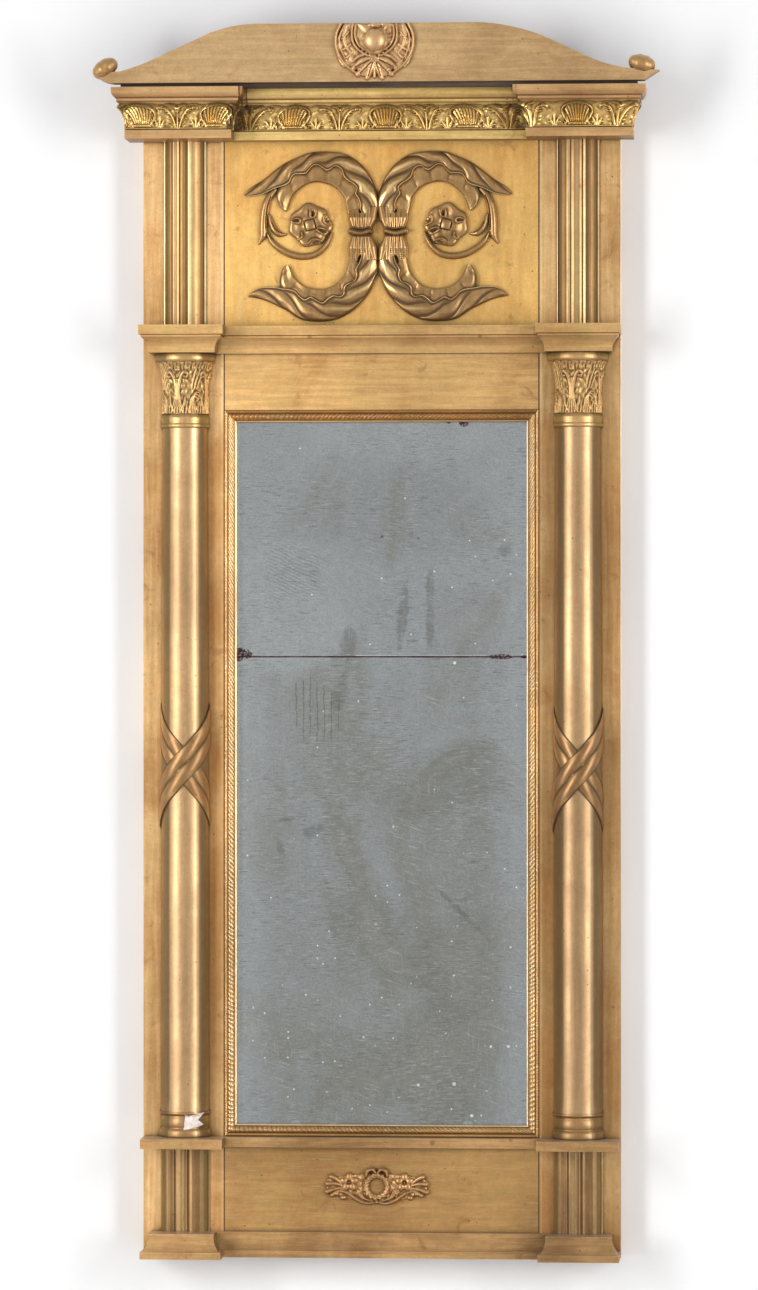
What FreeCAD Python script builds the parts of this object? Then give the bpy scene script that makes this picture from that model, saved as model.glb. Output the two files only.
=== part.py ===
"""Pier mirror, late Empire kind: gilded pine, break-front cornice, half-columns, two plates.

X runs to the right, Y from the front to the wall, Z up. The wall plane is y = 0. The origin is the
middle of the head rail's back face, on the wall. Sizes are in millimetres.
"""
import FreeCAD, Part
import math
import os
import re
import Sketcher
from FreeCAD import Placement, Rotation, Vector

doc = FreeCAD.newDocument("pier_mirror")

# ---------------------------------------------------------------- sizes
# Each size that can be chosen by itself is written once here. "out" is a distance in front of the
# stiles' face, "half" a half width.
SIZES = {
    # carcass
    "carcass_width": 543.5,
    "board_thick": 28,
    "stile_width": 92.5,
    "frieze_board_thick": 15,
    "tenon_thick": 9,
    "tenon_long": 34,
    "tenon_shoulder": 9,
    "joint_gap": 0.15,
    "tongue_thick": 6,
    "tongue_long": 7,
    # heights from the foot upwards
    "plinth_fillet": 8,
    "plinth_cavetto": 20,
    "lower_panel_height": 97,
    "sill_thick": 11,
    "base_height": 29,
    "shaft_height": 777,
    "necking_height": 16,
    "bell_height": 60,
    "abacus_height": 9,
    "entablature_height": 31,
    "frieze_height": 210,
    "cornice_height": 57,
    "top_board_thick": 5,
    "crest_height": 66,
    # columns
    "column_inset": 48,
    "column_foot_radius": 27.5,
    "column_neck_radius": 25.5,
    "column_base_radius": 30,
    "abacus_radius": 34,
    "bell_waist_radius": 27.6,
    # ressauts: the parts that break forward over and under the columns
    "cornice_shift": 3,
    "cornice_half": 74.5,
    "cornice_out": 68,
    "cornice_centre_out": 37,
    "entablature_half": 48,
    "entablature_out": 47,
    "entablature_centre_out": 15,
    "sill_half": 46.5,
    "sill_out": 46,
    "sill_centre_out": 14,
    "plinth_half": 46,
    "plinth_out": 46,
    "plinth_centre_out": 17,
    # pilasters
    "upper_pilaster_half": 24,
    "upper_roll_radius": 8.2,
    "lower_pilaster_half": 27.5,
    "lower_roll_radius": 9.6,
    "reed_ground": 2,
    # glazing
    "slip_width": 14,
    "slip_thick": 12,
    "slip_proud": 2,
    "slip_above_neck": 21,
    "upper_plate_height": 279,
    "plate_thick": 3,
    "plate_play": 2,
    "backboard_thick": 6,
    "backboard_gap": 0.5,
    "block_size": 7,
    "block_length": 40,
    "nail_long": 14,
    "nail_thick": 0.8,
    # crest
    "crest_board_thick": 18,
    "crest_out": 59,
    "crest_half": 300,
    "crest_tip_reach": 17,
    "crest_tip_height": 11,
    "roundel_length": 31,
    "roundel_thick": 20.5,
    "cartouche_half": 39.5,
    "cartouche_height": 66,
    "cartouche_top": 2.6,
    "cartouche_thick": 3,
    "cartouche_relief": 6,
    "nub_half": 6,
    "boss_radius": 11,
    "boss_drop": 20,
    "cleat_size": 22,
    "cleat_length": 60,
    # applied mounts; the middle ones were pinned a little to the left of the middle line
    "ornament_axis": -3.5,
    "scroll_height_mid": 115,
    "scroll_spread": 77.5,
    "scroll_scale": 1,
    "tendril_half": 4.5,
    "rosette_radius": 25,
    "eye_half": 5,
    "ribbon_width": 25,
    "ribbon_relief": 2.2,
    "ribbon_height_low": 335,
    "ribbon_rise": 115,
    "mount_half": 61,
    "mount_thick": 3.5,
    "wreath_radius": 17,
    "wreath_open_radius": 10,
    "wreath_relief": 8,
    "disc_spread": 32,
    "disc_radius": 9.5,
    # hanging fittings
    "hanger_spacing": 220,
    "hanger_drop": 92,
    "loop_wire_radius": 2,
    "loop_half_inside": 16,
    "loop_drop": 30,
    "knuckle_wall": 1.6,
    "knuckle_play": 0.08,
    "hanger_plate_thick": 1.6,
    "hanger_plate_half": 14,
    "screw_radius": 1.8,
}
# Heights and places that follow from them.
FOLLOWS = {
    "glass_opening": "carcass_width - 2 * stile_width",
    "front": "-board_thick",
    "column_x": "carcass_width / 2 - column_inset",
    "cornice_x": "column_x + cornice_shift",
    "entablature_x": "column_x + 1",
    "sill_x": "column_x + 0.5",
    "plinth_x": "column_x + 1.5",
    "head_rail_bottom": "-cornice_height / 2",
    "cornice_bottom": "-cornice_height / 2",
    "cornice_top": "cornice_height / 2",
    "frieze_bottom": "cornice_bottom - frieze_height",
    "entablature_bottom": "frieze_bottom - entablature_height",
    "abacus_bottom": "entablature_bottom - abacus_height",
    "bell_bottom": "abacus_bottom - bell_height",
    "necking_bottom": "bell_bottom - necking_height",
    "shaft_bottom": "necking_bottom - shaft_height",
    "base_bottom": "shaft_bottom - base_height",
    "sill_bottom": "base_bottom - sill_thick",
    "lower_panel_bottom": "sill_bottom - lower_panel_height",
    "plinth_height": "plinth_fillet + plinth_cavetto",
    "foot": "lower_panel_bottom - plinth_height",
    "crest_bottom": "cornice_top + top_board_thick",
    "slip_top": "necking_bottom + slip_above_neck",
    "slip_bottom": "base_bottom",
    "plate_back": "front - slip_proud + slip_thick + plate_thick",
    "upper_reed_radius": "upper_pilaster_half / 2 - upper_roll_radius - 0.2",
}

sheet = doc.addObject("Spreadsheet::Sheet", "sizes")
for row, (alias, value) in enumerate(list(SIZES.items()) + list(FOLLOWS.items()), start=1):
    sheet.set(f"A{row}", alias)
    sheet.set(f"B{row}", f"={value}" if isinstance(value, str) else str(value))
    sheet.setAlias(f"B{row}", alias)
doc.recompute()


def value(text):
    """The number that an expression of sheet names stands for."""
    return float(sheet.evalExpression(str(text)))


def bound(text):
    """The same expression, as another object of the document has to write it."""
    def named(word):
        name = word.group(0)
        return f"sizes.{name}" if name in SIZES or name in FOLLOWS else name
    return re.sub(r"[a-z_]+", named, str(text))


def bind(thing, prop, text):
    """Ties one property of an object to the sheet."""
    thing.setExpression(prop, bound(text))


# ---------------------------------------------------------------- making bodies
def new_body(label, x="0", y="front", z="0"):
    """An empty body whose own origin stands at x, y, z."""
    body = doc.addObject("PartDesign::Body", label)
    body.Label = label
    for axis, text in (("x", x), ("y", y), ("z", z)):
        bind(body, "Placement.Base." + axis, text)
    return body


def new_sketch(body, plane, name):
    """A sketch on one of the body's own origin planes."""
    sketch = body.newObject("Sketcher::SketchObject", f"{body.Label}_{name}")
    role = {feature.Role: feature for feature in body.Origin.OriginFeatures}[plane]
    sketch.AttachmentSupport = (role, "")
    sketch.MapMode = "FlatFace"
    return sketch


def arc_between(start, end, radius, bulge):
    """An arc from start to end that bulges to the right of its way, or to the left for -1."""
    along = end - start
    right = Vector(along.y, -along.x, 0).normalize() * bulge
    centre = (start + end) / 2 - right * math.sqrt(max(radius ** 2 - (along.Length / 2) ** 2, 0))
    angles = [math.atan2(point.y - centre.y, point.x - centre.x) for point in (start, end)]
    low, high = angles if bulge > 0 else reversed(angles)
    if high < low:
        high += 2 * math.pi
    return Part.ArcOfCircle(Part.Circle(centre, Vector(0, 0, 1), radius), low, high)


def outline(sketch, corners, closed=True):
    """A closed outline, or an open line, whose corners are bound to the sheet.

    A corner is (u, v) or (u, v, radius): with a radius, the side that leaves it is an arc, which
    bulges to the right of its way for a positive radius and to the left for a negative one.
    """
    first = sketch.GeometryCount
    count = len(corners)
    sides = count if closed else count - 1
    points = [Vector(value(corner[0]), value(corner[1]), 0) for corner in corners]
    starts = []
    for index in range(sides):
        start, end = points[index], points[(index + 1) % count]
        bulge = 1
        edge = Part.LineSegment(start, end)
        if len(corners[index]) == 3:
            bulge = math.copysign(1, value(corners[index][2]))
            edge = arc_between(start, end, abs(value(corners[index][2])), bulge)
        starts.append(1 if bulge > 0 else 2)
        sketch.addGeometry(edge, False)
    for index in range(sides if closed else sides - 1):
        following = (index + 1) % sides
        sketch.addConstraint(Sketcher.Constraint(
            "Coincident", first + index, 3 - starts[index], first + following, starts[following]))
    for index, corner in enumerate(corners):
        edge, end = (index, starts[index]) if index < sides else (index - 1, 3 - starts[index - 1])
        hold(sketch, "DistanceX", first + edge, end, corner[0])
        hold(sketch, "DistanceY", first + edge, end, corner[1])
        if len(corner) == 3 and index < sides:
            hold(sketch, "Radius", first + index, None, f"abs({corner[2]})")


def hold(sketch, kind, edge, point, text):
    """One dimension of a sketch, bound to the sheet: a place from the origin, or a radius."""
    measure = [kind, edge] if point is None else [kind, -1, 1, edge, point]
    place = sketch.addConstraint(Sketcher.Constraint(*measure, value(text)))
    if re.search("[a-z]", str(text)):
        sketch.setExpression(f"Constraints[{place}]", bound(text))


def circle(sketch, across, up, radius):
    """A circle, its centre and radius bound to the sheet."""
    edge = sketch.GeometryCount
    centre = Vector(value(across), value(up), 0)
    sketch.addGeometry(Part.Circle(centre, Vector(0, 0, 1), value(radius)), False)
    hold(sketch, "DistanceX", edge, 3, across)
    hold(sketch, "DistanceY", edge, 3, up)
    hold(sketch, "Radius", edge, None, radius)


def pad(body, sketch, length, middle=False, back=False):
    """Pushes a sketch out to a solid; back turns its way round."""
    feature = body.newObject("PartDesign::Pad", f"{sketch.Label}_pad")
    feature.Profile = sketch
    bind(feature, "Length", length)
    feature.SideType = "Symmetric" if middle else "One side"
    feature.Reversed = back
    doc.recompute()
    return feature


def pocket(body, sketch, length, forward=False):
    """Cuts a sketch towards the wall, or forward, and stops the build if it cuts nothing."""
    before = body.Shape.Volume
    feature = body.newObject("PartDesign::Pocket", f"{sketch.Label}_pocket")
    feature.Profile = sketch
    bind(feature, "Length", length)
    feature.Reversed = forward
    doc.recompute()
    if body.Shape.Volume > before - 1e-6:
        raise RuntimeError(f"{sketch.Label} cuts nothing")
    return feature


def board(label, half_width, bottom, top, thick, y="front", x="0"):
    """A plain board, centred on x, whose front face is at y."""
    body = new_body(label, x, y, bottom)
    sketch = new_sketch(body, "XZ_Plane", "face")
    outline(sketch, [(f"-({half_width})", 0), (half_width, 0),
                     (half_width, f"({top}) - ({bottom})"), (f"-({half_width})", f"({top}) - ({bottom})")])
    pad(body, sketch, thick, back=True)
    return body


# ---------------------------------------------------------------- carcass
# Three rails are tenoned into two full-height stiles; the frieze board is tongued between them.
SIDES = (("left", -1), ("right", 1))
RAILS = {
    "head_rail": ("head_rail_bottom", "cornice_top"),
    "upper_rail": ("slip_top", "frieze_bottom"),
    "lower_panel": ("foot", "slip_bottom"),
}

for side, sign in SIDES:
    outer = f"{sign} * carcass_width / 2"
    inner = f"{sign} * glass_opening / 2"
    stile = new_body(f"{side}_stile", z="foot")
    section = new_sketch(stile, "XY_Plane", "section")
    outline(section, [(inner, 0), (outer, 0), (outer, "board_thick"), (inner, "board_thick")])
    pad(stile, section, "cornice_top - foot")
    mortises = new_sketch(stile, "XZ_Plane", "mortises")
    for bottom, top in RAILS.values():
        low = f"{bottom} - foot + tenon_shoulder - joint_gap"
        high = f"{top} - foot - tenon_shoulder + joint_gap"
        end = f"{sign} * ( glass_opening / 2 + tenon_long + joint_gap )"
        start = f"{sign} * ( glass_opening / 2 - 1 )"
        outline(mortises, [(start, low), (end, low), (end, high), (start, high)])
    # the mortises lie in the middle of the board's thickness
    bind(mortises, "AttachmentOffset.Base.z", "-( board_thick - tenon_thick ) / 2 + joint_gap")
    pocket(stile, mortises, "tenon_thick + 2 * joint_gap")
    groove = new_sketch(stile, "XZ_Plane", "groove")
    bind(groove, "AttachmentOffset.Base.z", "-( frieze_board_thick - tongue_thick ) / 2 + joint_gap")
    low, high = "frieze_bottom - foot", "cornice_bottom - foot"
    end = f"{sign} * ( glass_opening / 2 + tongue_long + joint_gap )"
    outline(groove, [(start, low), (end, low), (end, high), (start, high)])
    pocket(stile, groove, "tongue_thick + 2 * joint_gap")

for label, (bottom, top) in RAILS.items():
    rail = board(label, "glass_opening / 2", bottom, top, "board_thick")
    tenon = new_sketch(rail, "XZ_Plane", "tenons")
    bind(tenon, "AttachmentOffset.Base.z", "-( board_thick - tenon_thick ) / 2")
    reach = "glass_opening / 2 + tenon_long"
    low, high = "tenon_shoulder", f"{top} - {bottom} - tenon_shoulder"
    outline(tenon, [(f"-( {reach} )", low), (reach, low), (reach, high), (f"-( {reach} )", high)])
    pad(rail, tenon, "tenon_thick", back=True)

frieze = board("frieze_panel", "glass_opening / 2", "frieze_bottom", "cornice_bottom",
               "frieze_board_thick")
tongue = new_sketch(frieze, "XZ_Plane", "tongue")
bind(tongue, "AttachmentOffset.Base.z", "-( frieze_board_thick - tongue_thick ) / 2")
reach = "glass_opening / 2 + tongue_long"
outline(tongue, [(f"-( {reach} )", "joint_gap"), (reach, "joint_gap"),
                 (reach, "frieze_height - joint_gap"), (f"-( {reach} )", "frieze_height - joint_gap")])
pad(frieze, tongue, "tongue_thick", back=True)

# ---------------------------------------------------------------- mitred mouldings
# A moulding is (setback, height) or (setback, height, radius) from its foot up. The setback is
# measured inwards from its widest line, so one list shapes the front and both returns. The side
# that leaves a point with a radius is a hollow if the radius is positive, and a round if negative.
CORNICE = [
    ("14", "0"), ("14", "9.5"), ("17", "10", "38"), ("6.5", "41"), ("5.5", "41"), ("5.5", "45"),
    ("4.5", "45", "-9"), ("0", "52"), ("0", "cornice_height"),
]
ENTABLATURE = [
    ("10", "0"), ("10", "2", "19"), ("2.5", "17.5"), ("2.5", "19.5"), ("0", "20.5"),
    ("0", "entablature_height"),
]
SILL = [("0", "0"), ("0", "sill_thick")]
PLINTH = [
    ("0", "0"), ("0", "plinth_fillet"), ("2.5", "plinth_fillet + 0.5", "24"),
    ("8.5", "plinth_height"),
]


def turned(moulding, way, across="{}"):
    """The moulding's points placed across a sketch, with its arcs turned to suit their way."""
    points = []
    for setback, height, *radius in moulding:
        points.append((across.format(setback), height, *(f"{way} * {text}" for text in radius)))
    return points


def front_profile(out, moulding):
    """The moulding as a section across the front, from the back face round its profile."""
    return [("0", "0")] + turned(moulding, 1, f"-( {out} - {{}} )") + [("0", moulding[-1][1])]


def waste_outline(limit, points):
    """The waste between a profile, drawn upwards, and a limit beyond it."""
    return [(limit, "-1"), (points[0][0], "-1")] + points + [
        (points[-1][0], f"{points[-1][1]} + 1"), (limit, f"{points[-1][1]} + 1")]


def ressaut(label, x, bottom, half, out, moulding):
    """A block that breaks forward, with the moulding mitred round its front and both returns."""
    body = new_body(label, x, "front", bottom)
    section = new_sketch(body, "YZ_Plane", "section")
    outline(section, front_profile(out, moulding))
    pad(body, section, f"2 * {half}", middle=True)
    if all(point[0] == "0" for point in moulding):
        return body
    for name, sign in SIDES:
        waste = new_sketch(body, "XZ_Plane", f"{name}_return")
        points = turned(moulding, -sign, f"{sign} * ( {half} - {{}} )")
        outline(waste, waste_outline(f"{sign} * ( {half} + 2 )", points))
        pocket(body, waste, f"{out} + 2", forward=True)
    return body


def centre_run(label, bottom, axis, half, out, moulding):
    """The set-back length between two ressauts, scribed at each end to their returns."""
    body = new_body(label, "0", "front", bottom)
    section = new_sketch(body, "YZ_Plane", "section")
    outline(section, front_profile(out, moulding))
    reach = f"{axis} - {half} + {max(value(point[0]) for point in moulding)}"
    pad(body, section, f"2 * ( {reach} )", middle=True)
    if all(point[0] == "0" for point in moulding):
        return body
    for name, sign in SIDES:
        waste = new_sketch(body, "XZ_Plane", f"{name}_scribe")
        points = turned(moulding, sign, f"{sign} * ( {axis} - {half} + {{}} )")
        outline(waste, waste_outline(f"{sign} * ( {reach} + 2 )", points))
        pocket(body, waste, f"{out} + 2", forward=True)
    return body


BREAKS = (
    ("cornice", "cornice_bottom", CORNICE),
    ("entablature", "entablature_bottom", ENTABLATURE),
    ("sill", "sill_bottom", SILL),
    ("plinth", "foot", PLINTH),
)
for member, bottom, moulding in BREAKS:
    for side, sign in SIDES:
        ressaut(f"{member}_{side}", f"{sign} * {member}_x", bottom, f"{member}_half",
                f"{member}_out", moulding)
    centre_run(f"{member}_centre", bottom, f"{member}_x", f"{member}_half",
               f"{member}_centre_out", moulding)

# ---------------------------------------------------------------- pilasters
# Each is a bundle of round reeds run in one length and glued to the stile. The quirks between the
# reeds are shallow: a reed shows this share of its radius below its widest line.
QUIRK_SHARE = 0.28


def reeded(label, x, bottom, top, reeds, half):
    """A half pilaster whose section is a row of reeds, each (centre, radius), from left to right."""
    body = new_body(label, x, "front", bottom)
    section = new_sketch(body, "XY_Plane", "section")
    corners = [(half, "0"), (f"-( {half} )", "0")]
    for centre, radius in reeds:
        quirk = f"-( reed_ground + {QUIRK_SHARE} * ( {radius} ) )"
        corners.append((f"{centre} - 0.96 * ( {radius} )", quirk, radius))
        corners.append((f"{centre} + 0.96 * ( {radius} )", quirk))
    outline(section, corners)
    pad(body, section, f"{top} - ( {bottom} )")
    return body


roll = "upper_pilaster_half - upper_roll_radius"
reed = "upper_reed_radius + 0.2"
UPPER_REEDS = [(f"-( {roll} )", "upper_roll_radius"), (f"-( {reed} )", "upper_reed_radius"),
               (reed, "upper_reed_radius"), (roll, "upper_roll_radius")]
wide = "lower_pilaster_half - lower_roll_radius"
LOWER_REEDS = [(f"-( {wide} )", "lower_roll_radius"), ("0", f"{wide} - lower_roll_radius - 0.4"),
               (wide, "lower_roll_radius")]
for side, sign in SIDES:
    centre = f"{sign} * column_x"
    reeded(f"{side}_upper_pilaster", centre, "frieze_bottom", "cornice_bottom", UPPER_REEDS,
           "upper_pilaster_half")
    reeded(f"{side}_lower_pilaster", centre, "lower_panel_bottom", "sill_bottom", LOWER_REEDS,
           "lower_pilaster_half")

# ---------------------------------------------------------------- columns
# Turned in one piece and sawn down the middle, so each is half round and sits flat on its stile.


def half_turned(label, x, bottom, profile):
    """A half turning: the profile is (radius, height) or (radius, height, arc) from the foot up."""
    body = new_body(label, x, "front", bottom)
    sketch = new_sketch(body, "YZ_Plane", "profile")
    outline(sketch, [("0", "0")] + turned(profile, 1, "-( {} )") + [("0", profile[-1][1])])
    turning = body.newObject("PartDesign::Revolution", f"{label}_turning")
    turning.Profile = sketch
    turning.ReferenceAxis = (sketch, ["V_Axis"])
    turning.Angle = 180
    turning.Midplane = True
    doc.recompute()
    return body


BASE = [
    ("column_base_radius - 3", "0"), ("column_base_radius - 0.6", "4.5"),
    ("column_base_radius - 2.4", "10.5"), ("column_base_radius - 1.5", "12.5"),
    ("column_base_radius - 1.7", "20"), ("column_base_radius", "27"),
    ("column_base_radius", "base_height"),
]
SHAFT = [
    ("column_foot_radius", "0"), ("column_foot_radius", "shaft_height / 3"),
    ("column_neck_radius", "shaft_height"),
]
CAPITAL = [
    ("column_neck_radius + 2.8", "0"), ("column_neck_radius + 2.8", "necking_height * 0.15"),
    ("column_neck_radius + 2", "necking_height * 0.3"),
    ("column_neck_radius + 2", "necking_height * 0.8"),
    ("column_neck_radius + 2.7", "necking_height * 0.9"), ("bell_waist_radius - 0.9", "necking_height"),
    ("bell_waist_radius - 0.9", "necking_height + bell_height * 0.45"),
    ("bell_waist_radius + 0.3", "necking_height + bell_height * 0.72"),
    ("abacus_radius - 4", "necking_height + bell_height * 0.9"),
    ("abacus_radius", "necking_height + bell_height"),
    ("abacus_radius", "necking_height + bell_height + abacus_height * 0.7"),
    ("abacus_radius - 1.5", "necking_height + bell_height + abacus_height"),
]
for side, sign in SIDES:
    centre = f"{sign} * column_x"
    half_turned(f"{side}_column_base", centre, "base_bottom", BASE)
    half_turned(f"{side}_column", centre, "shaft_bottom", SHAFT)
    half_turned(f"{side}_capital", centre, "necking_bottom", CAPITAL)

# Two flat ribbons wind half round each shaft and cross in front, the rising one on top.
RIBBON_FOLDS = [("-0.5", "0"), ("-0.5", "0.4"), ("-0.15", "1"), ("0.5", "0.4"), ("0.5", "0")]
RIBBONS = (("rising", "Right-handed", 180, 1.3), ("falling", "Left-handed", 0, 0.2))
INTO_SHAFT = 2
# how far the cutting block behind the stile's face runs past the ribbons on each side
BEYOND = 200


def ribbon(side, x, way, hand, turn, lift):
    """One ribbon: a folded strip swept along a half turn of a helix on the shaft."""
    spine = doc.addObject("Part::Helix", f"{side}_{way}_line")
    bind(spine, "Radius", "column_foot_radius")
    bind(spine, "Pitch", "2 * ribbon_rise")
    bind(spine, "Height", "ribbon_rise")
    spine.LocalCoord = hand
    strip = doc.addObject("Sketcher::SketchObject", f"{side}_{way}_section")
    strip.Placement = Placement(Vector(), Rotation(Vector(1, 0, 0), 90))
    corners = []
    for across, out in RIBBON_FOLDS:
        radial = f"column_foot_radius - {INTO_SHAFT}"
        if out != "0":
            radial = f"column_foot_radius + {lift} + {out} * ribbon_relief"
        corners.append((radial, f"{across} * ribbon_width * 1.65"))
    outline(strip, corners)
    sweep = doc.addObject("Part::Sweep", f"{side}_{way}_ribbon")
    sweep.Sections = [strip]
    sweep.Spine = (spine, ["Edge1"])
    sweep.Solid = True
    sweep.Frenet = True
    sweep.Placement = Placement(Vector(), Rotation(Vector(0, 0, 1), turn))
    bind(sweep, "Placement.Base.x", x)
    bind(sweep, "Placement.Base.y", "front")
    bind(sweep, "Placement.Base.z", "shaft_bottom + ribbon_height_low")
    return sweep


def joined(kind, name, first, second):
    """A boolean of two objects of the document."""
    result = doc.addObject(kind, name)
    result.Label = name
    result.Base = first
    result.Tool = second
    return result


for side, sign in SIDES:
    centre = f"{sign} * column_x"
    pair = [ribbon(side, centre, *spec) for spec in RIBBONS]
    crossed = joined("Part::Fuse", f"{side}_ribbon_pair", *pair)
    behind = doc.addObject("Part::Box", f"{side}_stile_face")
    behind.Length = behind.Width = behind.Height = 2 * BEYOND
    bind(behind, "Placement.Base.x", f"{centre} - {BEYOND}")
    bind(behind, "Placement.Base.y", "front")
    bind(behind, "Placement.Base.z", f"shaft_bottom + ribbon_height_low - {BEYOND} / 2")
    on_face = joined("Part::Cut", f"{side}_ribbon_face", crossed, behind)
    shaft = doc.getObject(f"{side}_column")
    joined("Part::Cut", f"{side}_ribbon", on_face, shaft)

# ---------------------------------------------------------------- glazing
# Four mitred slips line the opening, proud of the stiles, and the plates lie against their backs.


def slip(label, x, z, length, turn):
    """One slip, its sight edge towards the glass, mitred at both ends."""
    body = new_body(label, x, "front - slip_proud", z)
    section = new_sketch(body, "YZ_Plane", "section")
    outline(section, [
        ("slip_thick", "0"), ("1.5", "0", "-4"), ("0", "slip_width * 0.3"),
        ("0", "slip_width * 0.55", "-8"), ("3.5", "slip_width"), ("slip_thick", "slip_width")])
    pad(body, section, length, middle=True)
    for name, sign in SIDES:
        mitre = new_sketch(body, "XZ_Plane", f"{name}_mitre")
        end = f"{sign} * ( ({length}) / 2 + 1 )"
        outline(mitre, [(end, "-1"), (f"{sign} * ( ({length}) / 2 - slip_width - 1 )", "slip_width + 1"),
                        (end, "slip_width + 1")])
        pocket(body, mitre, "slip_thick")
    body.Placement.Rotation = Rotation(Vector(0, 1, 0), turn)
    return body


slip("sight_moulding_bottom", "0", "slip_bottom", "glass_opening", 0)
slip("sight_moulding_top", "0", "slip_top", "glass_opening", 180)
middle = "( slip_top + slip_bottom ) / 2"
slip("sight_moulding_left", "-glass_opening / 2", middle, "slip_top - slip_bottom", 90)
slip("sight_moulding_right", "glass_opening / 2", middle, "slip_top - slip_bottom", -90)

plate_front = "front - slip_proud + slip_thick"
half_plate = "glass_opening / 2 - plate_play"
seam = "slip_top - plate_play - upper_plate_height"
board("upper_plate", half_plate, seam, "slip_top - plate_play", "plate_thick", plate_front)
board("lower_plate", half_plate, "slip_bottom + plate_play", seam, "plate_thick", plate_front)


def group(label, members):
    """Several like solids in one node."""
    node = doc.addObject("Part::Compound", label)
    node.Label = label
    node.Links = members
    return node


boards = []
board_bottom, board_top = "slip_bottom + plate_play", "slip_top - plate_play"
for number in range(3):
    low = f"{board_bottom} + ( {board_top} - ( {board_bottom} ) ) * {number} / 3"
    high = f"{board_bottom} + ( {board_top} - ( {board_bottom} ) ) * {number + 1} / 3 - backboard_gap"
    boards.append(board(f"backboard_{number + 1}", half_plate, low, high, "backboard_thick",
                        "plate_back"))
group("backboards", boards)

blocks = []
BLOCK_LEVELS = (0.06, 0.28, 0.5, 0.72, 0.94)
for side, sign in SIDES:
    for number, share in enumerate(BLOCK_LEVELS):
        level = f"slip_bottom + ( slip_top - slip_bottom ) * {share}"
        block = new_body(f"{side}_block_{number + 1}", f"{sign} * glass_opening / 2",
                         "plate_back + backboard_thick", level)
        section = new_sketch(block, "XY_Plane", "section")
        outline(section, [("0", "0"), (f"{-sign} * block_size", "0"), ("0", "block_size * 0.6")])
        pad(block, section, "block_length", middle=True)
        blocks.append(block)
group("glazing_blocks", blocks)

# ---------------------------------------------------------------- crest
# A sawn and moulded board with ogee shoulders stands on the top board, steadied by two cleats.
top_board = board("top_board", "crest_half - 8", "cornice_top", "crest_bottom",
                  "board_thick + crest_out - 7", "front - crest_out + 7")

crest = new_body("crest_blank", "0", "front - crest_out", "crest_bottom")
shape = new_sketch(crest, "XZ_Plane", "shape")
tip = "crest_half + crest_tip_reach"
# sawn by eye: the right end is cut to a bevel, the left is rounded under, and the slopes differ
right = [("crest_half", "0"), (tip, "crest_tip_height"),
         ("crest_half - 20", "crest_tip_height + 2.7", "-168"),
         ("crest_half - 65", "crest_height * 0.41"),
         ("crest_half - 105", "crest_height * 0.7", "217"),
         ("crest_half - 188", "crest_height")]
left = [("-( crest_half - 171 )", "crest_height", "155"),
        ("-( crest_half - 110 )", "crest_height * 0.85"),
        ("-( crest_half - 48 )", "crest_height * 0.42", "-237"),
        ("-( crest_half - 9 )", "crest_tip_height + 2.6"),
        (f"-( {tip} + 5 )", "crest_tip_height", "33"), ("-crest_half", "0")]
outline(shape, right + left)
pad(crest, shape, "crest_board_thick", back=True)

cleats = []
for side, sign in SIDES:
    cleat = new_body(f"{side}_cleat", f"{sign} * crest_half / 2",
                     "front - crest_out + crest_board_thick", "crest_bottom")
    section = new_sketch(cleat, "YZ_Plane", "section")
    outline(section, [("0", "0"), ("cleat_size", "0"), ("cleat_size", "cleat_size * 0.3"),
                      ("cleat_size * 0.3", "cleat_size * 1.2"), ("0", "cleat_size * 1.2")])
    pad(cleat, section, "cleat_length", middle=True)
    cleats.append(cleat)
group("crest_cleats", cleats)

ROUNDELS = (("left", "-crest_half - 9.4", "crest_tip_height + 6.5", 33),
            ("right", "crest_half - 3", "crest_tip_height + 7.7", -15))
# the turned oval's profile, as shares of its half length and half thickness
OVAL = [(-1, 0), (1, 0), (0.82, 0.6), (0.34, 0.97), (-0.34, 0.97), (-0.82, 0.6)]
balls = []
for side, x, rise, tilt in ROUNDELS:
    ball = new_body(f"crest_{side}_roundel", x, "front - crest_out + crest_board_thick / 2",
                    f"crest_bottom + {rise}")
    oval = new_sketch(ball, "XZ_Plane", "oval")
    outline(oval, [(f"{along} * roundel_length / 2", f"{out} * roundel_thick / 2")
                   for along, out in OVAL])
    turning = ball.newObject("PartDesign::Revolution", f"{ball.Label}_turning")
    turning.Profile = oval
    turning.ReferenceAxis = (oval, ["H_Axis"])
    turning.Angle = 360
    doc.recompute()
    ball.Placement.Rotation = Rotation(Vector(0, -1, 0), tilt)
    balls.append(ball)
# each oval lies in a hollow worked in the board's end
joined("Part::Cut", "crest_board", crest, joined("Part::Fuse", "crest_ovals", *balls))

# The pressed cartouche: a ground with a lobed lower edge, an oval rim and a round boss.
cartouche = new_body("crest_cartouche", "ornament_axis", "front - crest_out",
                     "crest_bottom + crest_height")
ground = new_sketch(cartouche, "XZ_Plane", "ground")
cheek, side_lobe, end_lobe = (f"cartouche_half * {share}" for share in (0.62, 0.3, 0.24))
waist, foot_lobe = "-cartouche_height * 0.64", "-cartouche_height * 0.88"
outline(ground, [
    ("-cartouche_half", "-cartouche_top", cheek), ("-cartouche_half * 0.55", waist, side_lobe),
    ("-cartouche_half * 0.22", foot_lobe, end_lobe), ("cartouche_half * 0.22", foot_lobe, side_lobe),
    ("cartouche_half * 0.55", waist, cheek), ("cartouche_half", "-cartouche_top"),
    ("nub_half + 2", "-cartouche_top"), ("nub_half", "0.5"), ("-nub_half", "0.5"),
    ("-nub_half - 2", "-cartouche_top")])
pad(cartouche, ground, "cartouche_thick")
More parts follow.
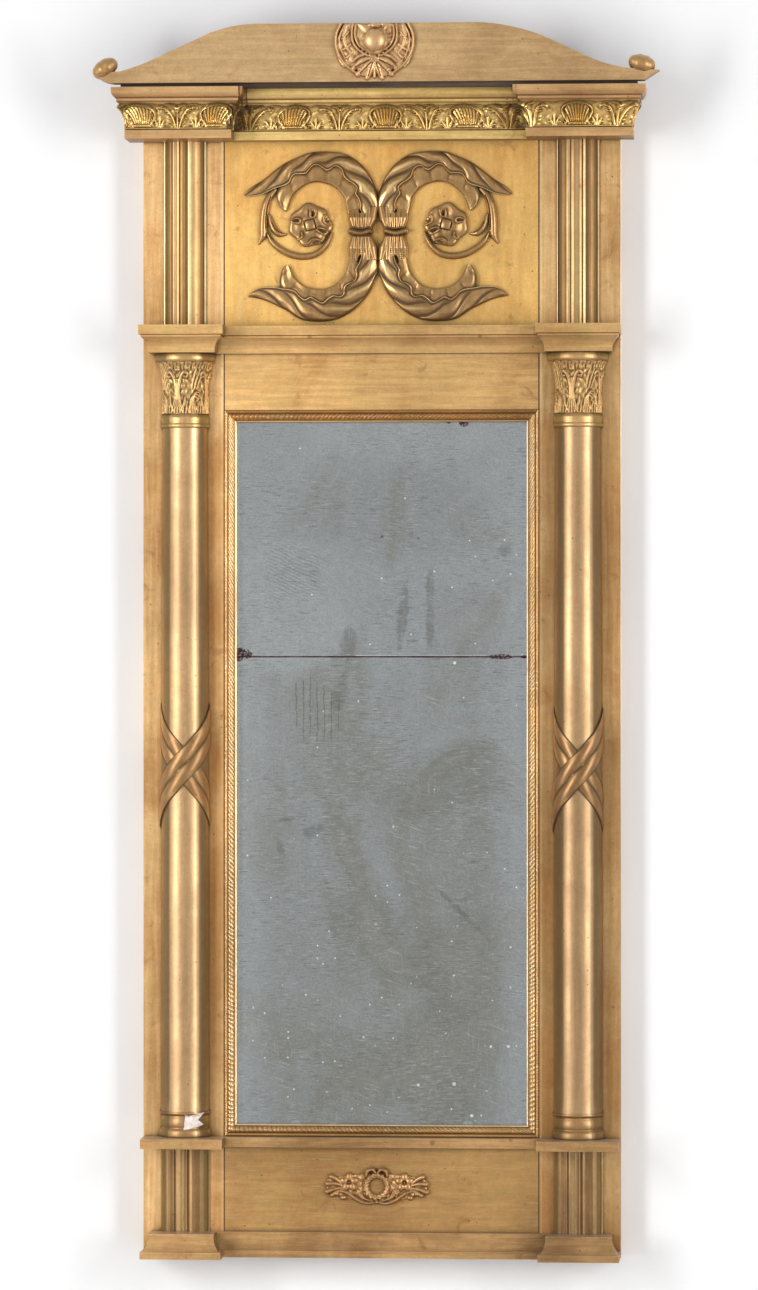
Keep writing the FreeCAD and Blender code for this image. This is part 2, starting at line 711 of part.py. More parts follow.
for name, radius, relief in (("rim", "boss_radius * 1.5", "cartouche_relief"),
                             ("boss", "boss_radius", "cartouche_relief * 1.5")):
    disc = new_sketch(cartouche, "XZ_Plane", name)
    circle(disc, "0", "-boss_drop", radius)
    pad(cartouche, disc, relief)

# ---------------------------------------------------------------- frieze mounts
# Pressed mounts: a C of two acanthus leaves bound by a collar, with a tendril and a rosette inside.
# each leaf section is (angle, middle radius, width, relief), round the leaf's own centre
UPPER_LEAF = [(-4, 62, 22, 8), (22, 65, 34, 11), (60, 67, 40, 11), (95, 65, 38, 10),
              (122, 66, 32, 8), (142, 74, 16, 6), (154, 82, 2, 3)]
LOWER_LEAF = [(30, 60, 22, 8), (2, 53, 33, 11), (-40, 53, 36, 11), (-85, 51, 36, 10),
              (-118, 50, 31, 8), (-138, 60, 16, 6), (-151, 86, 2, 3)]


def leaf(label, x, z, mirror, sections):
    """A crowned leaf lofted through sections that stand across its curved midrib."""
    body = new_body(label, x, "front", z)
    profiles = []
    for number, (angle, radius, width, relief) in enumerate(sections):
        way = Vector(-mirror * math.cos(math.radians(angle)), 0, math.sin(math.radians(angle)))
        sketch = new_sketch(body, "XY_Plane", f"section_{number}")
        out = Vector(0, -1, 0)
        sketch.AttachmentOffset = Placement(Vector(), Rotation(way, out, way.cross(out), "XYZ"))
        middle, half = f"{radius} * scroll_scale", f"{width} / 2 * scroll_scale"
        outline(sketch, [(f"{middle} - {half}", "0"), (f"{middle} + {half}", "0"),
                         (f"{middle} + {half} * 0.6", f"{relief}"),
                         (f"{middle} - {half} * 0.6", f"{relief} * 0.8")])
        profiles.append(sketch)
    loft = body.newObject("PartDesign::AdditiveLoft", f"{label}_loft")
    loft.Profile = profiles[0]
    loft.Sections = profiles[1:]
    loft.Ruled = True
    doc.recompute()
    return body


for side, sign in SIDES:
    x = f"ornament_axis + {sign} * scroll_spread"
    z = "frieze_bottom + scroll_height_mid"
    mirror = sign
    upper = leaf(f"{side}_upper_leaf", x, z, mirror, UPPER_LEAF)
    lower_x = f"{x} - {mirror} * 8 * scroll_scale"
    lower = leaf(f"{side}_lower_leaf", lower_x, f"{z} - 40 * scroll_scale", mirror, LOWER_LEAF)
    collar = new_body(f"{side}_collar", f"{x} - {mirror} * 60 * scroll_scale", "front",
                      f"{z} - 8.5 * scroll_scale")
    band = new_sketch(collar, "YZ_Plane", "band")
    outline(band, [("0", "-6"), ("0", "6"), ("-9", "6", "-6.5"), ("-9", "-6")])
    pad(collar, band, "26 * scroll_scale", middle=True)
    both = joined("Part::Fuse", f"{side}_leaves", upper, lower)
    joined("Part::Fuse", f"{side}_leaf_scroll", both, collar)

# Each tendril springs from the upper leaf, runs down and round the rosette, and ends beside it.
TENDRIL = [("37", "31", "39.8"), ("45", "-24", "35.2"), ("-24", "-12")]
for side, sign in SIDES:
    x = f"ornament_axis + {sign} * scroll_spread"
    z = "frieze_bottom + scroll_height_mid"
    tendril = new_body(f"{side}_tendril", x, "front", z)
    line = new_sketch(tendril, "XZ_Plane", "line")
    outline(line, turned(TENDRIL, -sign, f"{sign} * {{}} * scroll_scale"), closed=False)
    section = new_sketch(tendril, "XY_Plane", "section")
    first = line.Geometry[0]
    root = Vector(sign * value(TENDRIL[0][0]), value(TENDRIL[0][1]), 0) * value("scroll_scale")
    way = (root - first.Center).normalize()
    across, out = Vector(way.x, 0, way.y), Vector(0, -1, 0)
    section.AttachmentOffset = Placement(Vector(root.x, 0, root.y),
                                         Rotation(across, out, across.cross(out), "XYZ"))
    outline(section, [("-tendril_half", "0"), ("tendril_half", "0"),
                      ("tendril_half * 0.8", "tendril_half"), ("tendril_half * 0.3", "tendril_half * 1.4"),
                      ("-tendril_half * 0.3", "tendril_half * 1.4"),
                      ("-tendril_half * 0.8", "tendril_half")])
    pipe = tendril.newObject("PartDesign::AdditivePipe", f"{side}_tendril_pipe")
    pipe.Profile = section
    pipe.Spine = (line, ["Edge1", "Edge2"])
    pipe.Mode = "Frenet"
    doc.recompute()

    rosette = new_body(f"{side}_rosette", x, "front", z)
    dish = new_sketch(rosette, "XZ_Plane", "dish")
    circle(dish, "0", "0", "rosette_radius * 0.8")
    pad(rosette, dish, "4")
    petal = new_sketch(rosette, "XZ_Plane", "petal")
    outline(petal, [("-rosette_radius * 0.2", "rosette_radius * 0.3"),
                    ("rosette_radius * 0.2", "rosette_radius * 0.3"),
                    ("rosette_radius * 0.4", "rosette_radius * 0.68", "rosette_radius * 0.42"),
                    ("-rosette_radius * 0.4", "rosette_radius * 0.68")])
    blade = pad(rosette, petal, "7")
    ring = rosette.newObject("PartDesign::PolarPattern", f"{side}_petals")
    ring.Originals = [blade]
    ring.Axis = (petal, ["N_Axis"])
    ring.Angle = 360
    ring.Occurrences = 6
    rosette.Tip = ring
    doc.recompute()
    eye = new_sketch(rosette, "XZ_Plane", "eye")
    outline(eye, [("-eye_half", "-eye_half"), ("eye_half", "-eye_half"), ("eye_half", "eye_half"),
                  ("-eye_half", "eye_half")])
    pad(rosette, eye, "9")

# The foot's mount: an open wreath between two small rosettes, with leaf sprays to each end.
mount = new_body("lower_mount", "ornament_axis", "front", "lower_panel_bottom + lower_panel_height * 0.55")
spray = new_sketch(mount, "XZ_Plane", "spray")
# each corner is (share of the half width, height, radius of the side that leaves it)
SPRAY = [(-1, -4, "mount_half * 0.24"), (-0.66, -16, 60), (-0.13, -22, 9), (0.13, -22, 60),
         (0.66, -16, "mount_half * 0.24"), (1, -4, 26), (0.66, 14, 60), (0.2, 17, 14),
         (-0.2, 17, 60), (-0.66, 14, 26)]
outline(spray, [(f"{share} * mount_half", str(up), str(radius)) for share, up, radius in SPRAY])
pad(mount, spray, "mount_thick")
wreath = new_sketch(mount, "XZ_Plane", "wreath")
circle(wreath, "0", "0", "wreath_radius")
pad(mount, wreath, "wreath_relief")
hollow = new_sketch(mount, "XZ_Plane", "hollow")
circle(hollow, "0", "0", "wreath_open_radius")
pocket(mount, hollow, "wreath_relief + 2", forward=True)
for name, sign in SIDES:
    disc = new_sketch(mount, "XZ_Plane", f"{name}_disc")
    circle(disc, f"{sign} * disc_spread", "2", "disc_radius")
    pad(mount, disc, "mount_thick * 2")

# ---------------------------------------------------------------- cornice ornament
# Pressed strips follow the cove; their face is flatter than the cove behind them.
STRIP = [("14", "0"), ("14", "9.5"), ("14.6", "10.1", "70"), ("6.6", "40")]
for side, sign in SIDES:
    blank = ressaut(f"{side}_strip_blank", f"{sign} * cornice_x", "cornice_bottom", "cornice_half",
                    "cornice_out", STRIP)
    trimmed = joined("Part::Cut", f"{side}_strip_trimmed", blank, doc.getObject("cornice_centre"))
    joined("Part::Cut", f"cornice_ornament_{side}", trimmed, doc.getObject(f"cornice_{side}"))
blank = centre_run("centre_strip_blank", "cornice_bottom", "cornice_x", "cornice_half",
                   "cornice_centre_out", STRIP)
joined("Part::Cut", "cornice_ornament_centre", blank, doc.getObject("cornice_centre"))

# ---------------------------------------------------------------- backboard nails
# Cut brads stand out of the stiles' edges and lie over the backboards.
nails = []
BRAD_LEVELS = (0.17, 0.39, 0.61, 0.83)
for side, sign in SIDES:
    for number, share in enumerate(BRAD_LEVELS):
        level = f"slip_bottom + ( slip_top - slip_bottom ) * {share}"
        nail = new_body(f"{side}_nail_{number + 1}", f"{sign} * glass_opening / 2",
                        "plate_back + backboard_thick", level)
        shank = new_sketch(nail, "XZ_Plane", "shank")
        outline(shank, [(f"{-sign} * nail_long", "-nail_thick"), ("0", "-nail_thick"),
                        ("0", "nail_thick"), (f"{-sign} * nail_long", "nail_thick")])
        pad(nail, shank, "2 * nail_thick", back=True)
        nails.append(nail)
group("backboard_nails", nails)

# ---------------------------------------------------------------- hanging fittings
# A forged plate with a rolled knuckle is screwed to the back of the frieze board on each side. The
# loop's straight bar turns in the knuckle, and the loop hangs inside the thickness of the stiles.
frieze_back = "front + frieze_board_thick"
knuckle_radius = "loop_wire_radius + knuckle_play + knuckle_wall"
hanger_z = "cornice_bottom - hanger_drop"
loop_half = "loop_half_inside + loop_wire_radius"
knuckle_length = "2 * ( loop_half_inside - 4 )"
fittings = []
screws = []
for side, sign in SIDES:
    x = f"{sign} * hanger_spacing / 2"
    fitting = new_body(f"{side}_hanger_plate", x, frieze_back, hanger_z)
    strap = new_sketch(fitting, "YZ_Plane", "strap")
    outline(strap, [("0", "-hanger_plate_half"), ("hanger_plate_thick", "-hanger_plate_half"),
                    ("hanger_plate_thick", "hanger_plate_half"), ("0", "hanger_plate_half")])
    pad(fitting, strap, knuckle_length, middle=True)
    knuckle = new_sketch(fitting, "YZ_Plane", "knuckle")
    circle(knuckle, knuckle_radius, "0", knuckle_radius)
    pad(fitting, knuckle, knuckle_length, middle=True)
    bore = new_sketch(fitting, "YZ_Plane", "bore")
    circle(bore, knuckle_radius, "0", "loop_wire_radius + knuckle_play")
    bind(bore, "AttachmentOffset.Base.z", "-loop_half_inside")
    pocket(fitting, bore, "2 * loop_half_inside", forward=True)
    holes = new_sketch(fitting, "XZ_Plane", "screw_holes")
    for way in (-1, 1):
        circle(holes, "0", f"{way} * hanger_plate_half * 0.68", "screw_radius + 0.2")
    pocket(fitting, holes, "hanger_plate_thick + 1")
    fittings.append(fitting)

    for number, way in enumerate((-1, 1)):
        screw = new_body(f"{side}_screw_{number + 1}", x, frieze_back,
                         f"{hanger_z} + {way} * hanger_plate_half * 0.68")
        head = new_sketch(screw, "XY_Plane", "head")
        outline(head, [("0", "0"), ("screw_radius", "0"), ("screw_radius", "hanger_plate_thick"),
                       ("screw_radius * 1.8", "hanger_plate_thick"),
                       ("screw_radius", "hanger_plate_thick + screw_radius * 0.7"),
                       ("0", "hanger_plate_thick + screw_radius * 0.7")])
        turning = screw.newObject("PartDesign::Revolution", f"{screw.Label}_turning")
        turning.Profile = head
        turning.ReferenceAxis = (head, ["V_Axis"])
        turning.Angle = 360
        doc.recompute()
        screws.append(screw)

    loop = new_body(f"{side}_hanging_loop", x, f"{frieze_back} + {knuckle_radius}", hanger_z)
    bar = new_sketch(loop, "YZ_Plane", "bar")
    circle(bar, "0", "0", "loop_wire_radius")
    pad(loop, bar, f"2 * ( {loop_half} ) + 2 * loop_wire_radius", middle=True)
    bow = new_sketch(loop, "XZ_Plane", "bow")
    bend = f"{loop_half} - loop_drop - loop_wire_radius"
    outline(bow, [(f"-( {loop_half} )", "0"), (f"-( {loop_half} )", bend, loop_half),
                  ("0", "-loop_drop - loop_wire_radius", loop_half), (loop_half, bend),
                  (loop_half, "0")], closed=False)
    wire = new_sketch(loop, "XY_Plane", "wire")
    flat = "loop_wire_radius * 0.414"
    outline(wire, [(f"-( {loop_half} ) + {across}", up) for across, up in (
        (flat, "-loop_wire_radius"), ("loop_wire_radius", f"-{flat}"), ("loop_wire_radius", flat),
        (flat, "loop_wire_radius"), (f"-{flat}", "loop_wire_radius"), ("-loop_wire_radius", flat),
        ("-loop_wire_radius", f"-{flat}"), (f"-{flat}", "-loop_wire_radius"))])
    pipe = loop.newObject("PartDesign::AdditivePipe", f"{side}_loop_bow")
    pipe.Profile = wire
    pipe.Spine = (bow, ["Edge1", "Edge2", "Edge3", "Edge4"])
    doc.recompute()
group("hanger_plates", fittings)
group("hanger_screws", screws)

# ---------------------------------------------------------------- checking and writing
NODES = [
    "left_stile", "right_stile", "head_rail", "frieze_panel", "upper_rail", "lower_panel",
    "cornice_centre", "cornice_left", "cornice_right", "cornice_ornament_centre",
    "cornice_ornament_left", "cornice_ornament_right", "top_board", "crest_board", "crest_cleats",
    "crest_left_roundel", "crest_right_roundel", "crest_cartouche", "left_upper_pilaster",
    "right_upper_pilaster", "left_leaf_scroll", "right_leaf_scroll", "left_tendril",
    "right_tendril", "left_rosette", "right_rosette", "entablature_centre", "entablature_left",
    "entablature_right", "left_capital", "right_capital", "left_column", "right_column",
    "left_ribbon", "right_ribbon", "left_column_base", "right_column_base", "sight_moulding_top",
    "sight_moulding_bottom", "sight_moulding_left", "sight_moulding_right", "upper_plate",
    "lower_plate", "backboards", "glazing_blocks", "backboard_nails", "sill_centre", "sill_left",
    "sill_right", "left_lower_pilaster", "right_lower_pilaster", "lower_mount", "plinth_centre",
    "plinth_left", "plinth_right", "hanger_plates", "left_hanging_loop", "right_hanging_loop",
    "hanger_screws",
]
doc.recompute()
faults = [thing.Label for thing in doc.Objects if {"Invalid", "Error"} & set(thing.State)]
found = {thing.Label: thing for thing in doc.Objects if hasattr(thing, "Shape")}
for node in NODES:
    shape = found[node].Shape
    if shape.isNull() or not shape.isValid() or not shape.Solids:
        faults.append(node)
if faults:
    raise RuntimeError("these did not build: " + ", ".join(faults))

os.makedirs("parts", exist_ok=True)
for node in NODES:
    found[node].Shape.exportStep(f"parts/{node}.step")
print(len(NODES), "nodes written")
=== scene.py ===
import bpy
import math
import numpy as np
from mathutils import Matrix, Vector


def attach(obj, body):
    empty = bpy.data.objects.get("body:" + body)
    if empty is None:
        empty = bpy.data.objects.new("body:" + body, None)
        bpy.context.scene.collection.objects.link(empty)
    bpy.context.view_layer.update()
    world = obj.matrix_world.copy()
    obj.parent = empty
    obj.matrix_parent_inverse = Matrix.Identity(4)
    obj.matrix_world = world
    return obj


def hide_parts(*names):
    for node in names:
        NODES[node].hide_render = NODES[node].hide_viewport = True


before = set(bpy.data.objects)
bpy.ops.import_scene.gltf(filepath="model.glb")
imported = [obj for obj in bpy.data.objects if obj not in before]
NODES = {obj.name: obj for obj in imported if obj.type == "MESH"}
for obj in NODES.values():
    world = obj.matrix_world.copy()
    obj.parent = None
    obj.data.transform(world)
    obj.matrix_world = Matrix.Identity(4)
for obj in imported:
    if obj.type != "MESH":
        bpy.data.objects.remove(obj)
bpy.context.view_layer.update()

MM = 0.001

# ---------------------------------------------------------------- carcass
# Two full-height stiles, the rails, the frieze board and the panel at the foot are pine boards. Their
# faces carry gesso, red bole and a bronze gilding that has dulled, greened in the corners and rubbed.
STILE_IN = 179.25  # how far the inner edge of each stile is from the middle, in mm


class Value:
    """A number in a node tree. Signs make Math nodes of it: | takes the greater, as masks are joined."""

    def __init__(self, tree, socket):
        self.tree, self.socket = tree, socket

    def __add__(self, other):
        return self.tree.math("ADD", self, other)

    def __sub__(self, other):
        return self.tree.math("SUBTRACT", self, other)

    def __rsub__(self, other):
        return self.tree.math("SUBTRACT", other, self)

    def __mul__(self, other):
        return self.tree.math("MULTIPLY", self, other)

    def __or__(self, other):
        return self.tree.math("MAXIMUM", self, other)

    def __gt__(self, other):
        return self.tree.math("GREATER_THAN", self, other)

    def __lt__(self, other):
        return self.tree.math("LESS_THAN", self, other)

    def __abs__(self):
        return self.tree.math("ABSOLUTE", self)

    def held(self):
        """The same sum, kept between 0 and 1."""
        self.socket.node.use_clamp = True
        return self


class Tree:
    """A node tree that is written down as it is read: make a node, then link into it."""

    def __init__(self, tree, fresh=True):
        self.tree = tree
        if fresh:
            tree.nodes.clear()

    def add(self, kind, settings=None, **inputs):
        """One node; inputs go by name, with _ for a space, and take a value or another's output."""
        made = self.tree.nodes.new(kind)
        for name, setting in (settings or {}).items():
            setattr(made, name, setting)
        for name, given in inputs.items():
            key = int(name[1:]) if name[1:].isdigit() else name.replace("_", " ")
            self.feed(made.inputs[key], given)
        return made

    def feed(self, socket, given):
        """Links an output to a socket, or sets the socket to a number or colour."""
        given = getattr(given, "socket", given)
        if isinstance(given, bpy.types.NodeSocket):
            self.tree.links.new(given, socket)
        else:
            socket.default_value = given

    def out(self, kind, output=0, settings=None, **inputs):
        """One output of a new node."""
        return Value(self, self.add(kind, settings, **inputs).outputs[output])

    def math(self, operation, first, second=0.0):
        """The output of a Math node."""
        return self.out("ShaderNodeMath", 0, {"operation": operation}, i0=first, i1=second)

    def given(self):
        """What a node group is given, by name."""
        return {socket.name: Value(self, socket) for socket in self.add("NodeGroupInput").outputs}

    def place(self):
        """Where a point is, in the piece's own frame and in metres."""
        return self.out("ShaderNodeTexCoord", "Object")

    def split(self, vector):
        """The three parts of a vector."""
        return [Value(self, part) for part in self.add("ShaderNodeSeparateXYZ", Vector=vector).outputs]

    def facing(self):
        """The three parts of the way that the surface faces."""
        return self.split(self.out("ShaderNodeNewGeometry", "Normal"))

    def blend(self, factor, first, second):
        """The output of a colour mix."""
        return self.out("ShaderNodeMix", 2, {"data_type": "RGBA", "clamp_factor": True},
                        i0=factor, i6=first, i7=second)

    def ramp(self, factor, low, high, out_low=0.0, out_high=1.0):
        """A value carried from one range to another, held at both ends."""
        return self.out("ShaderNodeMapRange", 0, {"interpolation_type": "SMOOTHSTEP"}, Value=factor,
                        From_Min=low, From_Max=high, To_Min=out_low, To_Max=out_high)

    def line(self, value, middle, inner, outer, amount=1.0):
        """A mask where a value is near the middle: whole within inner of it, and nothing past outer."""
        return self.ramp(abs(value - middle), inner, outer, amount, 0.0)

    def noise(self, place, scale, detail=3.0, rough=0.55, distortion=0.0):
        """The grey output of a noise texture."""
        return self.out("ShaderNodeTexNoise", Vector=place, Scale=scale, Detail=detail,
                        Roughness=rough, Distortion=distortion)

    def cells(self, place, scale):
        """Scattered cells: the distance from each one's middle, and three numbers drawn for each."""
        made = self.add("ShaderNodeTexVoronoi", {"feature": "F1"}, Vector=place, Scale=scale)
        drawn = self.add("ShaderNodeSeparateColor", Color=made.outputs["Color"]).outputs
        return Value(self, made.outputs["Distance"]), [Value(self, part) for part in drawn]

    def stretched(self, place, x, y, z):
        """Coordinates scaled by axis, so that a pattern runs long where the number is small."""
        return self.out("ShaderNodeMapping", Vector=place, Scale=(x, y, z))

    def surface(self, colour, metal, rough, height, bump, depth):
        """The material's surface; bump is its strength, for a height of 1 that is depth metres."""
        bumped = self.out("ShaderNodeBump", Height=height, Strength=bump, Distance=depth)
        shader = self.out("ShaderNodeBsdfPrincipled", Base_Color=colour, Metallic=metal, Roughness=rough,
                          Normal=bumped)
        self.add("ShaderNodeOutputMaterial", Surface=shader)


def new_material(name):
    """A material and its empty tree."""
    material = bpy.data.materials.new(name)
    material.use_nodes = True
    return material, Tree(material.node_tree)


def new_group(name, inputs, outputs):
    """A shader node group; inputs are names with defaults, outputs are names with kinds."""
    group = bpy.data.node_groups.new(name, "ShaderNodeTree")
    for label, default in inputs.items():
        kind = "NodeSocketFloat" if isinstance(default, float) else "NodeSocketColor"
        socket = group.interface.new_socket(label, in_out="INPUT", socket_type=kind)
        socket.default_value = default
    for label, kind in outputs.items():
        group.interface.new_socket(label, in_out="OUTPUT", socket_type="NodeSocket" + kind)
    return group


def rgb(red, green, blue):
    """A display colour, 0 to 255, as the linear colour that a socket takes."""
    parts = [part / 255 for part in (red, green, blue)]
    return tuple(part / 12.92 if part < 0.04045 else ((part + 0.055) / 1.055) ** 2.4
                 for part in parts) + (1.0,)


def old_gilding():
    """Bronze gilding over red bole: cloudy tone, brush streaks, green corners, rubbed edges, flecks, and
    painted light and shade.
    """
    group = new_group(
        "old_gilding",
        {"Gold": rgb(214, 172, 108), "Shade": rgb(150, 108, 62), "Bole": rgb(120, 52, 34),
         "Green": rgb(150, 148, 72), "Pale": rgb(250, 226, 170), "Dirt": rgb(66, 44, 24), "Crevice": 0.0,
         "Cloud": 0.5, "Greening": 0.5, "Rub": 0.3, "Across": 60.0, "Along": 3.0, "Joint": 0.0,
         "Sheen": 0.5, "Gloss": 0.0, "Soot": 0.0, "Fade": 1.0},
        {"Color": "Color", "Metal": "Float", "Roughness": "Float", "Height": "Float"})
    t = Tree(group)
    given, place, facing = t.given(), t.place(), t.facing()
    crevice, shade_and_crack, joint = given["Crevice"], given["Soot"], given["Joint"]
    x, y, z = t.split(place)
    clouds = t.noise(place, 7.0, 5.0, 0.62, 0.4)
    patches = t.noise(place, 24.0, 4.0, 0.6)
    streaked = t.out("ShaderNodeCombineXYZ", X=x * given["Across"], Y=y * given["Across"],
                     Z=z * given["Along"])
    streaks = t.noise(streaked, 4.0, 4.0, 0.6)
    fine = t.noise(place, 900.0, 3.0, 0.7)
    tone = t.ramp(clouds, 0.35, 0.68) * 0.6 + t.ramp(streaks, 0.3, 0.7) * 0.4
    colour = t.blend((tone * given["Cloud"]).held(), given["Gold"], given["Shade"])
    # thin bright and dull brush marks, and painted shade in the corners and on every side that turns away
    colour = t.blend(t.ramp(streaks, 0.56, 0.74) * 0.24 * given["Cloud"], colour, given["Pale"])
    colour = t.blend(t.ramp(crevice, 0.02, 0.6, 0.0, 0.85), colour, given["Shade"])
    # the gilding turns green-yellow where damp has sat: in corners and in loose patches
    damp = t.ramp(patches, 0.48, 0.75) * 0.35 + t.ramp(crevice, 0.15, 0.75) * 0.8
    green = (damp * given["Greening"]).held()
    colour = t.blend(green, colour, given["Green"])
    # dirt and painted shade go darkest in the deepest corners, and edges that stand out get a pale line that
    # is partly wear and partly painted highlight
    deep = t.ramp(crevice, 0.62, 1.0)
    colour = t.blend(deep * 0.85, colour, given["Dirt"])
    worn_and_highlit = t.ramp(crevice, -0.12, -0.85) * t.ramp(patches, 0.25, 0.6, 0.55, 1.0)
    colour = t.blend(worn_and_highlit, colour, given["Pale"])
    # the boards have shrunk a little, so each joint beside the stiles shows as a dark line, with a painted
    # highlight along the stile's edge just beside it
    far = abs(x)
    stile = STILE_IN * MM
    colour = t.blend(t.line(far, stile + 0.0024, 0.0004, 0.0022, 0.45) * joint, colour, given["Pale"])
    colour = t.blend(t.line(far, stile, 0.0004, 0.0010) * joint, colour, rgb(84, 48, 26))
    # painted shade on the stiles beside the columns, more at the right
    column_shade = t.ramp(far, 0.206, 0.19, 0.0, 0.6) * (far > 0.1794) | t.ramp(x, 0.246, 0.262, 0.0, 0.4)
    column_shade = column_shade * t.ramp(z, -0.33, -0.37) * t.ramp(clouds, 0.3, 0.6, 0.5, 1.0)
    colour = t.blend(column_shade * joint, colour, given["Shade"])
    # painted shade lies in the mitres, on the faces that turn in beside the middle
    return_shade = t.ramp(abs(facing[0]), 0.6, 0.85) * (far < 0.2) * t.ramp(patches, 0.3, 0.55, 0.7, 1.0)
    colour = t.blend(return_shade * shade_and_crack, colour, rgb(70, 50, 24))
    # the return pieces of the cornice have opened at their mitres, most at the left
    over_foot = z > 0.006
    opened = shade_and_crack * t.ramp(x, -0.01, 0.01, 1.0, 0.25) * (abs(z) < 0.03)
    strip = t.line(far, 0.1533, 0.0026, 0.0030, 0.6) * over_foot
    crack = t.line(far, 0.1561, 0.0004, 0.0013, 0.95) | t.line(far, 0.1506, 0.0003, 0.0015, 0.9)
    colour = t.blend(strip * opened, colour, rgb(140, 90, 48))
    colour = t.blend(crack * over_foot * opened, colour, rgb(44, 26, 18))
    # painted shade: brown lines in the quirks over the hollow
    quirks = t.line(z, 0.0167, 0.0004, 0.0013, 0.75) | t.line(z, 0.0127, 0.0004, 0.0013, 0.75)
    colour = t.blend(quirks * shade_and_crack, colour, rgb(112, 68, 34))
    # bole shows through in small rubbed places
    stained = t.ramp(t.noise(place, 30.0, 6.0, 0.7, 0.8), 0.58, 0.7) * given["Rub"]
    colour = t.blend(stained * 0.9, colour, rgb(150, 92, 48))
    rubbed = (t.ramp(t.noise(place, 85.0, 6.0, 0.75, 0.6), 0.64, 0.72) * given["Rub"]).held()
    colour = t.blend(rubbed, colour, given["Bole"])
    # fly spots and dents
    away, drawn = t.cells(place, 110.0)
    specks = t.ramp(away, 0.07, 0.13, 1.0, 0.0) * (drawn[0] > 0.86)
    colour = t.blend(specks * 0.7, colour, rgb(70, 45, 26))
    away, drawn = t.cells(place, 26.0)
    dents = t.ramp(away + patches * 0.08, 0.08, 0.14, 1.0, 0.0) * (drawn[1] > 0.9)
    colour = t.blend(dents * 0.5, colour, rgb(112, 74, 40))
    # sugary grain, a slow mottle, and painted light that changes slowly over the whole frame: brightest at
    # the top left
    grainy = t.ramp(fine, 0.3, 0.7, 0.88, 1.1)
    mottle = t.ramp(t.noise(place, 130.0, 5.0, 0.7), 0.3, 0.7, 0.93, 1.05)
    mottle = mottle * t.ramp(t.noise(place, 4.2, 2.0), 0.38, 0.64, 0.9, 1.08)
    light_falloff = t.ramp(x, -0.28, 0.28, 0.08, -0.16) * given["Fade"] + 1.0
    light_falloff = light_falloff * t.ramp(z, -1.0, -0.1, 0.94, 1.05)
    colour = t.out("ShaderNodeVectorMath", 0, {"operation": "SCALE"}, Vector=colour,
                   Scale=grainy * mottle * light_falloff)
    # grey dust lies on the ledges, and painted shade turns the undersides dark brown, as under light from
    # above
    level = facing[2]
    dust = t.ramp(level, 0.75, 0.95, 0.0, 0.75) * t.ramp(patches, 0.3, 0.6, 0.5, 1.0)
    colour = t.blend(dust, colour, rgb(182, 168, 152))
    colour = t.blend(t.ramp(level, -0.1, -0.55, 0.0, 0.42), colour, rgb(104, 66, 36))
    colour = t.blend(t.ramp(level, -0.75, -0.95, 0.0, 0.6), colour, rgb(104, 66, 36))
    # the backs were never gilded: sawn pine, brown with age
    behind = t.ramp(facing[1], 0.4, 0.6)
    sawn = t.blend(t.ramp(streaks, 0.3, 0.7), rgb(180, 144, 98), rgb(150, 114, 76))
    sawn = t.blend(t.ramp(patches, 0.5, 0.75, 0.0, 0.35), sawn, rgb(104, 82, 58))
    colour = t.blend(behind, colour, sawn)
    # matt where green or bare, satin where the bronze is whole
    bare = green | rubbed | deep | behind
    metal = t.ramp(bare, 0.0, 1.0, 1.0, 0.25) * given["Sheen"] * (1.0 - behind)
    rough = t.ramp(clouds, 0.3, 0.7, 0.36, 0.46) + bare * 0.22 - given["Gloss"]
    height = fine * 0.3 + streaks * 0.5 - (specks | rubbed) * 0.8
    t.add("NodeGroupOutput", Color=colour, Metal=metal, Roughness=rough, Height=height)
    return group


GILDING = old_gilding()


def gilded(name, gold, shade, bump=0.12, hidden="ambient", reach=0.014, edge=0.3, **amounts):
    """A gilded finish, with painted shade in its corners. Corners are found from the shape itself, or from
    the relief that is pressed.
    """
    material, t = new_material(name)
    if hidden == "ambient":
        # ambient occlusion finds the corners, which take painted shade, and the convex edges, whose pale
        # line is partly wear and partly painted highlight
        near = t.out("ShaderNodeAmbientOcclusion", "AO", {"samples": 6}, Distance=reach)
        under = t.out("ShaderNodeAmbientOcclusion", "AO", {"samples": 4, "inside": True}, Distance=0.002)
        tight = t.out("ShaderNodeAmbientOcclusion", "AO", {"samples": 6}, Distance=0.0045)
        around = t.ramp(near, 0.2, 0.75, 1.0, 0.0) | t.ramp(tight, 0.35, 0.82, 1.25, 0.0)
        crevice = around - t.ramp(under, 0.55, 0.95, edge, 0.0)
    else:
        crevice = t.out("ShaderNodeAttribute", "Fac", {"attribute_name": "crevice"})
    made = t.add("ShaderNodeGroup", {"node_tree": GILDING}, Gold=gold, Shade=shade, Crevice=crevice,
                 **amounts).outputs
    t.surface(made["Color"], made["Metal"], made["Roughness"], made["Height"], bump, 0.0006)
    return material


def finish(material, *names):
    """Gives a material to CAD nodes that stay as they are."""
    for name in names:
        slots = NODES[name].data.materials
        for index in range(len(slots)):
            slots[index] = material
        if not slots:
            slots.append(material)


LEVEL = {"Across": 4.0, "Along": 60.0}  # brush streaks that run along a level board
finish(gilded("upright_gilding", rgb(248, 204, 142), rgb(180, 124, 64), Joint=1.0, Cloud=1.0, Rub=0.5,
              Greening=0.8, Green=rgb(178, 162, 92), Across=60.0, Along=3.0), "left_stile", "right_stile")
finish(gilded("level_gilding", rgb(240, 194, 126), rgb(166, 116, 60), Joint=1.0, Cloud=1.0, Rub=0.5,
              Greening=0.8, Green=rgb(170, 152, 84), **LEVEL), "upper_rail")
